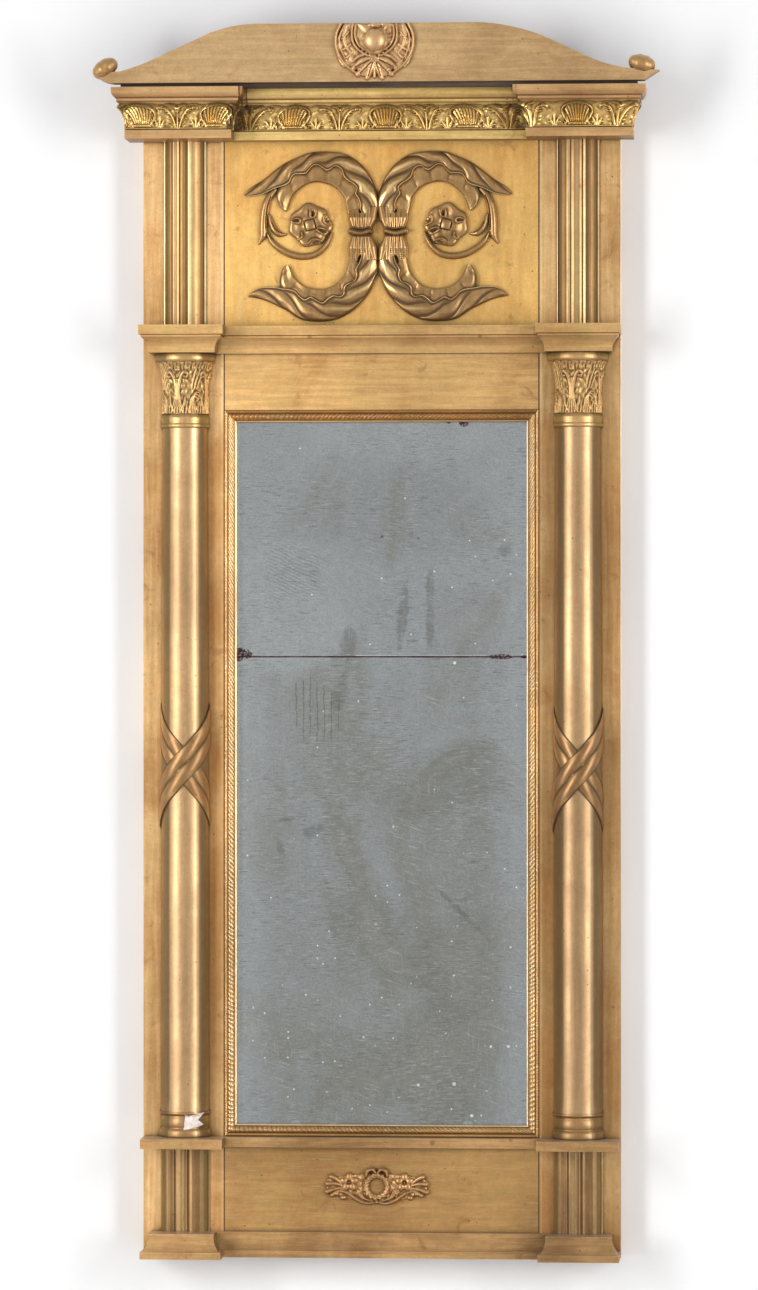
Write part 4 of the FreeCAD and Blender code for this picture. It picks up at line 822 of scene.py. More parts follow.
# stations along each leaf, in mm from the rosette's centre: on its outer edge, on the ruffle and on its
# inner edge; the back lies between the first two, and the band in front of it between the last two
UPPER_LEAVES = [
    (77.5, 12.9, 57.4, 17.8, 45.3, 2.9), (78.0, 24.0, 57.9, 22.8, 43.2, 11.4),
    (77.2, 33.0, 55.3, 29.9, 41.0, 20.0), (74.8, 41.8, 52.0, 34.9, 40.0, 26.5),
    (72.0, 49.0, 53.9, 41.3, 39.0, 30.5), (68.6, 55.6, 50.3, 45.9, 36.8, 34.0),
    (64.0, 62.2, 43.9, 49.9, 34.0, 37.5), (58.9, 68.0, 40.0, 53.4, 31.5, 40.2),
    (53.0, 73.2, 38.3, 57.0, 29.3, 41.8), (46.5, 77.6, 36.8, 62.0, 26.5, 43.5),
    (40.0, 80.4, 32.5, 65.6, 23.5, 45.2), (32.7, 82.4, 27.5, 66.1, 20.4, 46.3),
    (26.5, 83.2, 24.4, 63.3, 18.0, 47.0), (20.0, 83.7, 19.7, 61.7, 15.5, 47.7),
    (14.0, 83.8, 15.1, 64.4, 12.8, 48.3), (8.0, 83.6, 10.1, 67.7, 9.5, 48.8),
    (2.4, 82.8, 4.0, 67.3, 5.0, 48.7), (-3.1, 81.7, -1.0, 62.0, 1.0, 48.0),
    (-8.6, 79.7, -5.0, 58.1, -2.5, 47.0), (-15.0, 77.0, -11.0, 57.9, -7.0, 44.6),
    (-21.5, 74.3, -17.4, 57.3, -11.5, 41.5), (-28.0, 71.2, -20.9, 53.9, -16.0, 37.6),
    (-34.0, 67.0, -23.5, 48.5, -19.5, 34.2), (-40.0, 62.6, -28.1, 45.3, -21.8, 29.0)]
UPPER_BACK = [(72.7, -0.9, 61.5, 10.0)] + [row[:4] for row in UPPER_LEAVES] + [
    (-44.4, 59.0, -33.8, 43.5), (-50.0, 54.5, -42.0, 41.0), (-55.4, 50.7, -49.9, 37.2),
    (-63.7, 45.6, -58.2, 34.5), (-70.6, 40.4, -68.0, 33.4), (-75.0, 34.9, -74.7, 33.8)]
UPPER_BAND = [row[2:] for row in UPPER_LEAVES] + [
    (-32.3, 42.0, -23.1, 25.7), (-36.0, 36.8, -24.3, 22.3), (-37.0, 31.0, -25.2, 20.0),
    (-35.6, 25.5, -26.0, 17.8), (-32.8, 20.0, -26.6, 16.2), (-28.0, 15.8, -27.0, 15.6)]
LOWER_LEAVES = [
    (77.6, -42.0, 56.0, -44.9, 45.3, -33.0), (78.2, -50.5, 52.4, -51.3, 44.0, -42.0),
    (76.0, -57.5, 53.2, -58.4, 42.0, -50.0), (73.2, -65.0, 50.3, -64.8, 39.5, -55.8),
    (69.5, -73.5, 43.9, -67.0, 37.0, -59.8), (64.5, -81.5, 39.2, -71.3, 34.0, -63.4),
    (58.5, -88.0, 38.6, -78.4, 30.5, -66.6), (51.5, -95.2, 34.3, -81.9, 26.5, -69.0),
    (43.5, -101.0, 26.8, -80.8, 22.0, -71.0), (35.5, -105.4, 21.1, -83.8, 17.5, -72.1),
    (26.5, -108.3, 14.7, -88.8, 12.5, -72.8), (16.2, -109.8, 7.6, -85.8, 7.0, -72.5),
    (6.0, -109.9, 1.1, -82.4, 2.0, -71.7), (-3.1, -109.1, -5.3, -85.1, -3.0, -70.5),
    (-11.3, -107.0, -11.0, -81.9, -7.5, -68.6), (-19.6, -102.2, -16.7, -75.8, -11.5, -66.0)]
LOWER_BACK = [(71.3, -15.4, 61.0, -28.5), (75.5, -30.0, 58.5, -38.0)] + [row[:4] for row in LOWER_LEAVES] + [
    (-26.5, -97.4, -23.8, -73.4), (-34.8, -93.2, -30.2, -72.7), (-41.5, -89.8, -36.6, -71.5),
    (-50.0, -86.2, -45.2, -70.9), (-58.0, -83.7, -56.0, -71.4), (-66.0, -82.1, -64.5, -75.4),
    (-70.6, -81.5, -69.9, -80.6)]
LOWER_BAND = [row[2:] for row in LOWER_LEAVES] + [
    (-21.5, -73.8, -14.5, -63.4), (-26.0, -73.0, -17.0, -60.4), (-30.0, -71.8, -19.0, -57.6),
    (-32.6, -67.0, -20.3, -54.0), (-33.0, -61.0, -21.4, -51.0), (-31.9, -54.5, -22.8, -48.4),
    (-30.0, -49.0, -24.4, -46.2), (-27.2, -45.9, -26.0, -45.5)]
# the rise across the back and the band, as (share of the way across, share of LEAF_RISE), and along them
BACK = ((0, 0.14), (0.03, 0.42), (0.1, 0.64), (0.35, 0.84), (0.7, 0.88), (0.9, 0.84), (0.945, 0.86),
        (0.965, 1.04), (1, 1.04))
BAND = ((0, 0.5), (0.12, 0.5), (0.3, 0.6), (0.6, 0.56), (0.8, 0.62), (0.9, 0.66), (0.95, 0.6), (0.98, 0.4),
        (1, 0.12))
BACK_TAPER = ((0, 0.8), (0.12, 1), (0.6, 0.96), (0.85, 0.7), (1, 0.3))
BAND_TAPER = ((0, 0.8), (0.12, 1), (0.8, 1), (1, 0.8))
LEAF_RISE = 9.6


def leaf_shell(stations, profile, taper, folds, depth, lean, fine, x, mirror, flip, tuck=0.0):
    """A leaf surface between two edges. Twisted folds run across it, leaning by lean folds from one edge to
    the other, with fine tool lines on one flank. A leaf with a tuck reaches under the one beside it."""
    long, wide = 250, 36
    pairs = np.asarray(stations)
    a, b = smooth(pairs[:, :2], long), smooth(pairs[:, 2:], long)
    s = np.linspace(0, 1, long)[:, None]
    across = np.concatenate([np.linspace(0, 0.08, 6), np.linspace(0.11, 0.88, wide - 14),
                             np.linspace(0.9, 1, 8)])[None, :]
    # folds are spaced by the length of the leaf's middle line
    walk = np.insert(np.cumsum(np.hypot(*np.diff((a + b) / 2, axis=0).T)), 0, 0)
    walk = (walk / walk[-1])[:, None]
    phase = (folds * walk + lean * across) % 1.0
    fold = np.sin(math.pi * phase ** 0.72)
    envelope = np.interp(across, (0, 0.12, 0.5, 0.8, 0.92, 1), (0.45, 1, 1, 0.7, 0.15, 0.0))
    lines = fine * (0.5 - 0.5 * np.cos(2 * math.pi * phase * 11)) * np.clip((phase - 0.5) * 5, 0, 1)
    ripple = (depth * (fold - 0.62) - 0.035 * lines) * envelope
    height = LEAF_RISE * np.interp(s, *zip(*taper)) * (np.interp(across, *zip(*profile)) + ripple)
    share = across * (1 + tuck) - tuck
    point = a[:, None, :] + (b - a)[:, None, :] * share[..., None]
    front = np.stack([x + mirror * point[..., 0], BOARD - np.clip(height, 0.4, 10.9),
                      ROSETTE_Z + point[..., 1]], -1)
    back = front.copy()
    back[..., 1] = BOARD + 0.3
    # painted shade lies in the folds and tool lines, at the foot and under the ruffle, and painted
    # highlights on the ruffle's lip and the fold crests
    strength = min(1.0, 5.5 * depth)
    marks = np.clip((0.55 - fold) / 0.36, 0, 1) * envelope * strength + 0.45 * lines * envelope
    if tuck:
        foot = np.maximum(np.clip(1.3 - across / 0.16, 0, 1), np.clip((across - 0.97) / 0.02, 0, 1))
        marks, lip = np.maximum(np.maximum(marks, 0), foot), 0
    else:
        under = np.interp(across, (0.82, 0.88, 0.94, 0.95), (0, 1, 1, 0))
        marks = np.maximum(np.maximum(marks, under), np.clip(1.3 - across / 0.07, 0, 1))
        lip = np.clip((across - 0.955) / 0.02, 0, 1)
    lit = np.clip(1.1 - walk * 1.3, 0.25, 1) * np.clip((fold - 0.84) * 7, 0, 1) * envelope
    marks = np.clip(marks - 0.9 * lip - 0.8 * lit * strength, -1, 1)
    return shell_of(front, back, marks, flip=flip)


# fluted buds either side of the collar, and the collar's two rings
knot = Relief((42, -48), (80, 26), 0.4)
knot.contrast = 0.7
for foot, belly, tip, end in ((50.6, 48.6, 48.0, 4.6), (55.0, 54.2, 53.5, 4.6), (59.5, 60.0, 60.0, 6.4),
                              (64.0, 65.8, 66.5, 7.6), (67.6, 70.6, 73.5, 7.6)):
    knot.stroke([(foot, -2.5), (belly, 7), (tip, 19)], (3.8, 5.8, 4.0), (9.0, 9.7, end), crown=0.35)
    knot.stroke([(foot, -15), (belly, -26), (tip, -39)], (3.8, 5.9, 3.8), (9.0, 9.7, end), crown=0.35)
for foot, tip in ((52.8, 51.4), (57.2, 57.0), (61.8, 62.8), (65.8, 68.4)):
    middle = (foot + tip) / 2
    knot.stroke([(foot, -3), (middle, 5), (tip, 13)], (0.4, 0.5, 0.3), 0.35, way="cut")
    knot.stroke([(foot, -15), (middle, -23), (tip, -32)], (0.4, 0.5, 0.3), 0.35, way="cut")
knot.dome((57.8, 16.6), (2.1, 3.6), 6.5, way="cut")
knot.dome((56.7, -39.6), (2.1, 5.0), 6.5, turn=-15, way="cut")
knot.stroke([(49, -2.8), (58, -4.4), (68, -2.8)], 1.7, 10.2)
knot.stroke([(46.2, -7.4), (57, -9.9), (68.4, -7.4)], 3.8, 10.8)

# the forked stem, with grooves along it
stem = Relief((-61, -43), (30, 42), 0.4)
stem.stroke([(-39.5, 40), (-45.9, 33), (-50.2, 24.2), (-52.6, 12.8), (-53.6, 0), (-54.0, -11.4),
             (-58.6, -21)], (2.8, 4.2, 5.0, 5.2, 5.2, 4.6, 1.2), (4.6, 5.4, 6.2, 6.2, 6.2, 5.4, 3.0))
stem.stroke([(-46.6, 11.4), (-44.5, 2.9), (-40.9, -5), (-35.2, -10), (-27.4, -10.7)],
            (1.6, 3.4, 4.0, 3.6, 1.2), (4.6, 5.6, 6.0, 5.6, 3.0))
stem.stroke([(-49.4, -7.1), (-43.7, -18.5), (-33.8, -27.1), (-21, -33.5), (-6.7, -35.6), (6.1, -33),
             (16.1, -25.4), (21.6, -16.9), (24.6, -9)], (1.6, 3.4, 3.8, 4.0, 4.0, 3.8, 3.2, 2.4, 1.2),
            (4.6, 5.6, 6.2, 6.2, 6.2, 6.2, 5.8, 5.0, 3.2))
stem.stroke([(-44.5, 33), (-48.4, 22), (-50.2, 8), (-50.4, -3)], (0.4, 0.7, 0.7, 0.4), 1.6, way="cut")
stem.stroke([(-49.0, -8), (-44.4, -14), (-39.6, -18)], (0.7, 0.6, 0.3), 2.2, way="cut")
stem.stroke([(-43.6, 3), (-39.0, -5), (-32.0, -9.4)], (0.4, 0.7, 0.4), 1.6, way="cut")

# the rosette: five unequal petals, whose edges curl over, round a nail head
rose = Relief((-26, -26), (26, 26), 0.4)
rose.contrast = 1.4
turn, away = np.arctan2(rose.v, rose.u), np.hypot(rose.u, rose.v)
edge = 24.0 + 1.1 * np.cos(7 * turn + 0.6) + 0.7 * np.cos(4 * turn)
share = np.clip(away / edge, 0, 1)
petals = 3.4 + 2.6 * np.cos(share * 3.6) ** 2 - 2.2 * share ** 8
petals = petals + 0.7 * np.cos(5 * turn + 1.2 + share * 2) * share
rose.height = np.where(away < edge, petals, SUNK)
for fold in (((0.4, 17.6), (0.4, 10.4), (3.4, 8.4), (6.4, 11.0), (7.8, 17.4)),
             ((-20.4, 6.0), (-14.4, 7.4), (-11.0, 5.2), (-13.1, 2.1), (-19.0, 3.0)),
             ((20.6, 12.0), (16.4, 9.4), (16.2, 3.4), (22.6, -0.6)),
             ((17.8, -12.4), (10.0, -7.6), (7.0, -4.4), (12.0, -3.4), (21.6, -6.6)),
             ((-1.6, -21.8), (1.4, -17.4), (7.4, -16.2), (14.2, -19.0)),
             ((-9.6, -8.4), (-9.0, -12.8), (-13.0, -17.0))):
    rose.stroke(fold, (1.0, 1.5, 1.7, 1.5, 1.0)[:len(fold)], 2.0, crown=0.8, way="add")
for centre, size, turn in (((3.6, 12.8), (1.6, 3.6), 0), ((-16.4, 4.8), (3.4, 1.3), 8),
                           ((15.0, -7.2), (4.4, 1.5), -22), ((6.6, -20.0), (4.6, 1.6), 14),
                           ((20.4, 5.4), (2.6, 3.0), 20)):
    rose.dome(centre, size, 2.0, turn=turn, way="cut")
head = np.maximum(np.abs(rose.u * 0.97 + rose.v * 0.24), np.abs(rose.v * 0.97 - rose.u * 0.24))
rose.height = np.where(head < 6.6, 3.2, rose.height)
rose.height = np.where(head < 5.2, 6.4 - 0.04 * away ** 2, rose.height)

for side, mirror in (("left", 1), ("right", -1)):
    x = ROSETTE_X[side]
    shells = []
    for back, band, count, flip in ((UPPER_BACK, UPPER_BAND, 5.6, mirror > 0),
                                    (LOWER_BACK, LOWER_BAND, 6.4, mirror < 0)):
        shells.append(leaf_shell(back, BACK, BACK_TAPER, count, 0.22, -1.25, 1.0, x, mirror, flip))
        shells.append(leaf_shell(band, BAND, BAND_TAPER, 6.3, 0.07, 0.1, 0.0, x, mirror, flip, tuck=0.1))
    on_frieze = flat_at(x, ROSETTE_Z, BOARD, mirror)
    shells.append(laid(knot, on_frieze, flip=mirror < 0))
    mount_gold = gilded(f"{side}_mount_gold", rgb(197, 157, 104), rgb(114, 80, 44), hidden="relief",
                        Green=rgb(118, 98, 44), Pale=rgb(244, 212, 152), Greening=0.4, Cloud=0.7,
                        Sheen=0.72, Gloss=0.05, Fade=0.15)
    cast(f"carved_{side}_leaf_scroll", shells, mount_gold, [f"{side}_leaf_scroll"])
    for part, relief in (("tendril", stem), ("rosette", rose)):
        cast(f"carved_{side}_{part}", [laid(relief, on_frieze, flip=mirror < 0)], mount_gold,
             [f"{side}_{part}"])

# ---------------------------------------------------------------- capitals
# Each capital is turned with a flared lip, a bell and a banded neck, and its bell is dressed with
# moulded leaves: a fluted stalk that opens in two curls, and smaller hooked leaves beside it.


def half_turn(profile, x, steps=96, wobble=0.0):
    """A half-turned solid against the board; profile is (radius, level) from the foot up."""
    rows = np.asarray(profile, float)
    turn = np.linspace(-math.pi / 2, math.pi / 2, steps)
    radius, level = rows[:, :1], rows[:, 1:]
    radius = radius + wobble * np.sin(level / 37.0 + 2.0 * np.sin(turn * 2 + level / 110.0))
    front = np.stack([x + radius * np.sin(turn), BOARD - radius * np.cos(turn),
                      level * np.ones_like(turn)], -1)
    front[:, (0, -1), 1] = BOARD
    back = front.copy()
    back[..., 1] = BOARD
    # painted shade darkens the sides that turn to the board, and painted highlights lie either side of the
    # middle, most on the right
    lean = np.degrees(turn)[None, :] * np.ones_like(radius)
    marks = np.interp(lean, (-46, -38, -31, -20, -10, 0, 10, 18, 24, 31, 36, 42, 50),
                      (0.64, 0.5, 0, -0.1, 0, 0.03, 0.03, 0, -0.2, -0.42, 0, 0.4, 0.64))
    # the hollows of the profile take painted shade and its rounds a painted highlight
    bend = np.gradient(np.gradient(rows[:, 0]))[:, None]
    marks = marks + np.clip(bend * 1.5, -0.6, 0.6)
    return shell_of(front, back, marks)


NECKING = [(26.8, -354.5), (28.1, -353.4), (28.5, -351.9), (28.2, -350.4), (27.1, -349.3), (27.3, -347.0),
           (27.6, -344.5), (27.4, -342.4), (26.6, -341.0), (25.8, -339.8), (25.2, -338.8)]
BELL_LINE = [(25.0, -338.5), (24.9, -325), (25.0, -310), (26.0, -296), (28.2, -286), (31.0, -280.4),
             (32.9, -278.0)]
LIP_LINE = [(32.6, -279.6), (34.0, -277.4), (34.4, -275.0), (34.1, -272.6), (33.4, -270.6), (32.2, -269.7)]
LEAF_FOOT = -337.5  # level that the capital's leaves rise from


def round_bell(x):
    """Bends a sheet round the bell: u is measured along its belly, v is the level."""
    line = smooth(BELL_LINE, 60)

    def place(u, v, height):
        turn = u / 27.5
        radius = np.interp(v, line[:, 1], line[:, 0]) + height
        return x + radius * np.sin(turn), BOARD - radius * np.cos(turn), v
    return place


def capital_leaf(sheet, u):
    """The tall fluted stalk that opens in two curls under the lip."""
    sheet.start(u, LEAF_FOOT)
    for k in (-1.6, -0.8, 0, 0.8, 1.6):
        sheet.stroke([(k * 4.6, 0), (k * 2.2, 14), (k * 1.5, 26), (k * 2.6, 38)], (1.6, 1.3, 1.2, 1.5),
                     (2.6, 2.7, 2.8, 2.8))
    for side in (-1, 1):
        sheet.start(u, LEAF_FOOT, side)
        sheet.stroke([(2.4, 33), (4.6, 41), (8.6, 46), (12.0, 43.5), (11.0, 39.5)],
                     (1.8, 2.4, 2.6, 2.2, 1.4), (2.8, 3.2, 3.6, 3.4, 2.6))
        sheet.dome((8.8, 41.0), (2.0, 2.0), 3.9)
        sheet.stroke([(4.6, 2), (8.4, 10), (9.6, 18)], (1.9, 2.3, 1.4), (2.4, 3.0, 2.2))
        sheet.dome((5.6, 24), (1.5, 4.2), 2.2, turn=-18)
    sheet.start(u, LEAF_FOOT)
    sheet.dome((0, 48.5), (3.2, 2.6), 3.2)


def hooked_leaf(sheet, u, side):
    """A lower leaf that rises and hooks over."""
    sheet.start(u, LEAF_FOOT, side)
    for k in (0, 1, 2):
        sheet.stroke([(1.5 - 3.0 * k, 0), (-1 - 1.8 * k, 13), (1 - 1.3 * k, 22 - 1.6 * k),
                      (6.4 - 1.4 * k, 22.5 - 3 * k), (8.0 - 2 * k, 16.5 - 2 * k)],
                     (1.5, 1.5, 1.6, 1.6, 0.9), (2.6, 3.0, 3.3, 3.2, 2.2))
    sheet.dome((3.0, 5), (2.8, 4.0), 2.6)
    for k in (0, 1, 2):
        sheet.stroke([(3.2 * k - 3, 27), (4.2 * k - 1.4, 38), (1.5 + 5.0 * k, 49)], (1.2, 1.7, 1.0),
                     (2.2, 2.8, 2.4))


sheet = Relief((-43.0, -338.2), (43.0, -279.2))
sheet.contrast = 2.0
sheet.height = 1.0 + 0.55 * np.sin(sheet.u / 1.5 + np.sin(sheet.v / 3.0)) * np.sin(sheet.v / 2.1)
# a fringe of small leaf tips stands round the foot and another hangs under the lip
for k in range(-11, 12):
    sheet.stroke([(k * 3.6, -337.6), (k * 3.6 + 0.8, -330), (k * 3.6 + 1.4, -324)], (1.5, 1.3, 0.5),
                 (2.4, 2.2, 1.4))
    sheet.stroke([(k * 3.9, -281.6), (k * 3.9 - 0.6, -287), (k * 3.9, -291)], (1.4, 1.3, 0.6),
                 (1.8, 2.0, 1.4))
capital_leaf(sheet, -7.0)
hooked_leaf(sheet, 13.5, 1)
hooked_leaf(sheet, -26.0, -1)
capital_leaf(sheet, 33.0)
sheet.start()
for k in range(5):
    sheet.stroke([(-24.0 + 2.4 * k, -337), (-24.5 + 1.9 * k, -310), (-30.0 + 3.0 * k, -283)],
                 (1.0, 1.1, 1.5), (1.6, 2.0, 2.4), crown=0.8)
for side, x in COLUMNS:
    points, faces, marks = half_turn(smooth(LIP_LINE, 12), x)
    # the lip is painted darker all over: painted shade that dulls its highlight
    lip = points, faces, marks + 0.3
    necking, bell = half_turn(smooth(NECKING, 60), x), half_turn(smooth(BELL_LINE, 40), x)
    capital_gold = gilded(f"{side}_capital_gold", rgb(222, 180, 119), rgb(128, 92, 50), hidden="relief",
                          Pale=rgb(255, 232, 168), Green=rgb(150, 136, 66), Greening=0.5, Cloud=0.7,
                          Sheen=0.6, Fade=-0.25, Dirt=rgb(92, 62, 34))
    cast(f"turned_{side}_capital", [lip, necking, bell, laid(sheet, round_bell(x))], capital_gold,
         [f"{side}_capital"])

# ---------------------------------------------------------------- half-columns and their bases
# Split-turned shafts, slightly tapered, gilded and burnished to a satin gloss, on turned bases. A flake of
# the left base's gilding is gone, down to white gesso.
SHAFT_FOOT, SHAFT_TOP, BASE_FOOT = -1131.5, -354.5, -1160.5
SHAFT_LINE = [(27.3, SHAFT_FOOT), (27.5, -1131.0), (27.5, -872), (26.8, -620), (25.6, -355.5),
              (25.5, SHAFT_TOP)]
BASE_LINE = [(29.0, BASE_FOOT), (29.9, -1158.8), (30.0, -1155.6), (29.2, -1152.4), (27.3, -1150.6),
             (26.9, -1149.4), (27.7, -1146.6), (28.0, -1143.2), (27.5, -1139.6), (26.7, -1137.2),
             (26.5, -1135.8), (28.4, -1134.4), (29.3, -1133.2), (29.2, -1131.7)]
column_gold = gilded("column_gold", rgb(212, 172, 124), rgb(112, 80, 48), bump=0.06, hidden="relief",
                     Across=50.0, Along=3.0, Greening=0.15, Rub=0.12, Dirt=rgb(104, 68, 38), Sheen=0.6)
line = np.asarray(SHAFT_LINE)
levels = np.linspace(SHAFT_FOOT, SHAFT_TOP, 150)
shaft = np.stack([np.interp(levels, line[:, 1], line[:, 0]), levels], -1)
for side, x in COLUMNS:
    cast(f"turned_{side}_shaft", [half_turn(shaft, x, wobble=0.07)], column_gold,
         [f"{side}_column"])

# the flake's outline, in mm across from the base's middle and up from its foot
CHIP = [(2.6, 27.2), (5.6, 24.2), (10.8, 25.8), (24.6, 29.0), (17.2, 20.4), (23.4, 14.9), (15.3, 11.6),
        (0.3, 8.8)]
CHIP_DEPTH = 1.1
BARE_MARK = 2.0  # the crevice mark of bare gesso


def chip_mask(across, up):
    """Where the gesso shows: inside the flake's jagged outline."""
    inside = np.zeros(across.shape, bool)
    for (a, b), (c, d) in zip(CHIP, CHIP[1:] + CHIP[:1]):
        inside ^= ((b > up) != (d > up)) & (across < (c - a) * (up - b) / (d - b) + a)
    return inside


def chipped_gold():
    """The column's gilding, with bare chalky gesso where the crevice mark says so."""
    material = gilded("chipped_column_gold", rgb(188, 146, 95), rgb(112, 78, 44), bump=0.06,
                      hidden="relief", Across=50.0, Along=3.0, Greening=0.2, Rub=0.2, Fade=0.4)
    t = Tree(material.node_tree, fresh=False)
    shader = next(node for node in t.tree.nodes if node.type == "BSDF_PRINCIPLED")
    mark = t.out("ShaderNodeAttribute", "Fac", {"attribute_name": "crevice"})
    bare = t.ramp(mark, BARE_MARK - 0.6, BARE_MARK - 0.4)
    chalk = t.blend(t.ramp(t.noise(t.place(), 260.0), 0.3, 0.7), rgb(244, 236, 230), rgb(214, 198, 190))
    base, metal, rough = (shader.inputs[name] for name in ("Base Color", "Metallic", "Roughness"))
    t.feed(base, t.blend(bare, base.links[0].from_socket, chalk))
    for socket, other in ((metal, 0.0), (rough, 0.9)):
        t.feed(socket, t.out("ShaderNodeMix", 0, {"data_type": "FLOAT"}, i0=bare,
                             i2=socket.links[0].from_socket, i3=other))
    return material


chipped = chipped_gold()
for side, x in COLUMNS:
    points, faces, marks = half_turn(smooth(BASE_LINE, 84), x, 200)
    if side == "left":
        loss = chip_mask(points[:, 0] - x, points[:, 2] - BASE_FOOT) & (points[:, 1] < BOARD - 4)
        inward = np.stack([points[:, 0] - x, points[:, 1] - BOARD, np.zeros(len(points))], -1)
        points = points - inward / 29.0 * (loss * CHIP_DEPTH)[:, None]
        marks = np.where(loss, BARE_MARK, marks)
    cast(f"turned_{side}_base", [(points, faces, marks)], chipped,
         [f"{side}_column_base"])

# ---------------------------------------------------------------- crossed ribbons
# Two carved ribbons cross on the front of each shaft. Each is folded along its length; the one that rises
# to the right lies on top, and both thin out where they pass behind.


def ribbon(x, z, rising, low, high, steps=150, wide=30):
    """A ribbon wound half round the shaft: low and high are its least and greatest rise."""
    along = np.linspace(-1, 1, steps)[:, None]
    across = np.linspace(-1, 1, wide)[None, :]
    turn = along * math.radians(92)
    slope = 47.0 * along + 4.0 * along ** 3
    half = 22.0 + 1.5 * along ** 2
    level = z + rising * slope + across * half
    radius = np.interp(level, (SHAFT_FOOT, -872, SHAFT_TOP), (27.5, 27.5, 25.5))
    folds = 2.0
    crease = np.abs(np.sin(math.pi * (across + 1) / 2 * folds + 0.25 * along))
    rim = np.clip((np.abs(across) - 0.88) / 0.12, 0, 1)
    swell = (0.75 + 0.25 * np.cos(along * 2.2)) * (low + (high - low) * crease * (1 - 0.35 * rim))
    height = swell * np.clip((1.02 - np.abs(along)) * 9, 0, 1) + 0.5 * rim * (np.abs(along) < 0.93)

    def round_shaft(out):
        """The ribbon's points, so far from the shaft's middle, and none of them inside the board."""
        y = np.minimum(BOARD - out * np.cos(turn), BOARD)
        return np.stack([x + out * np.sin(turn), y, level * np.ones_like(turn)], -1)

    # painted shade in the folds, along both edges against the shaft and at the ends that turn behind;
    # painted highlights on the fold crests and inside the upper edge
    marks = np.clip(0.45 - crease, 0, 1) * 2.2 * (np.abs(across) < 0.8)
    marks = marks - 0.8 * np.interp(across, (0.76, 0.84, 0.92), (0, 1, 0))
    marks = marks - 0.35 * np.clip(crease - 0.85, 0, 1) * 6
    marks = np.maximum(marks, np.interp(np.abs(across), (0.9, 0.95, 1), (0, 0.95, 1)))
    marks = np.maximum(np.clip(marks, -1, 1), np.clip((np.abs(along) - 0.8) * 3, 0, 0.8))
    return shell_of(round_shaft(radius + height), round_shaft(radius - 0.5), marks, flip=True)


ribbon_gold = gilded("ribbon_gold", rgb(180, 138, 92), rgb(96, 64, 38), bump=0.06, hidden="relief",
                     Pale=rgb(240, 208, 156), Greening=0.2, Across=20.0, Along=20.0, Sheen=0.75)
RIBBON_LEVEL = {"left": -738.5, "right": -742.5}
for side, x in COLUMNS:
    z = RIBBON_LEVEL[side]
    cast(f"carved_{side}_ribbons", [ribbon(x, z, 1, 1.9, 4.0), ribbon(x, z + 1.0, -1, 0.7, 2.2)],
         ribbon_gold, [f"{side}_ribbon"])

# ---------------------------------------------------------------- sight mouldings
# Four mitred slips hold the glass: a twisted cord outside, a strip of lapped leaves run at a slant, and a
# plain sight edge that is rubbed pale.
SLIP_LINE = ((0, 28.0), (0.3, 29.0), (1.3, 29.9), (2.6, 29.9), (3.6, 28.9), (4.2, 28.0), (5.0, 28.6),
             (6.6, 29.5), (8.2, 29.4), (9.8, 28.4), (11.2, 26.6), (11.9, 25.8), (12.4, 26.3), (13.4, 26.2),
             (13.9, 25.2), (14.0, 22.0))
SLIP_TOP, SLIP_FOOT = -333.5, -1160.5


def slip_shell(length, place, seed, crisp, flip):
    """One slip: u runs along it, v from its outer edge to the glass, height is its rise off the back."""
    along = np.linspace(0, 1, int(length / 0.8))[None, :]
    across = np.concatenate([np.linspace(0, 13.9, 30), [14.0]])[:, None]
    near = np.minimum(across, 13.95)
    run = along * length
    rise = np.interp(across, *zip(*SLIP_LINE)) * np.ones_like(along)
    chance = np.random.default_rng(seed)
    knots = chance.uniform(-1, 1, (2, int(length / 14) + 3))
    drift, wear = (np.interp(run, np.linspace(0, length, knots.shape[1]), row) for row in knots)
    strength = crisp * (0.8 + 0.35 * wear)
    slant = np.abs(np.sin(math.pi * ((run + 1.15 * near) / 5.2 + 0.35 * drift)))
    vein = np.sin(math.pi * ((run - 0.9 * near) / 2.6 + 0.2 * drift)) ** 2
    cord = np.abs(np.sin(math.pi * (run + 1.6 * near) / 3.2))
    leaf = np.interp(across, (4.2, 5.4, 8.4, 11.0, 11.8), (0, 1, 1, 1, 0))
    twist = np.interp(across, (0.2, 1.0, 2.8, 4.0), (0, 1, 1, 0))
    rise = rise + leaf * strength * (1.05 * slant + 0.3 * vein - 1.0) + twist * (0.8 * cord - 0.7) * strength
    # painted shade in the quirks, between the leaves and in the cord
    marks = leaf * np.clip((0.45 - slant) * 2.0, 0, 1) + twist * np.clip((0.4 - cord) * 2, 0, 1)
    marks = marks + np.interp(across, (3.5, 4.1, 4.6, 5.2, 11.2, 11.7, 12.0, 12.3),
                              (0, 1.2, 1.2, 0, 0, 1.1, 1.1, 0))
    # pale flecks, a dark line at the outer edge, painted highlights on the leaves' crests, and the sight
    # edge rubbed pale
    fleck = np.clip((chance.random(rise.shape) - 0.7) * 5, 0, 1) * np.clip(strength, 0.5, 1.2)
    marks = marks - 1.5 * fleck * (leaf + 0.8 * twist)
    marks = marks + np.interp(across, (0, 0.5, 1.0), (1, 0.8, 0))
    marks = marks - leaf * 0.7 * np.clip((slant - 0.75) * 4, 0, 1) * strength
    marks = np.clip(marks - np.interp(across, (12.2, 12.8, 13.8), (0, 0.9, 0.9)), -1, 1)
    full = across * np.ones_like(along)
    front = np.stack(place(along, full, rise), -1)
    back = np.stack(place(along, full, np.full(rise.shape, 18.0)), -1)
    return shell_of(front, back, marks, flip=flip)


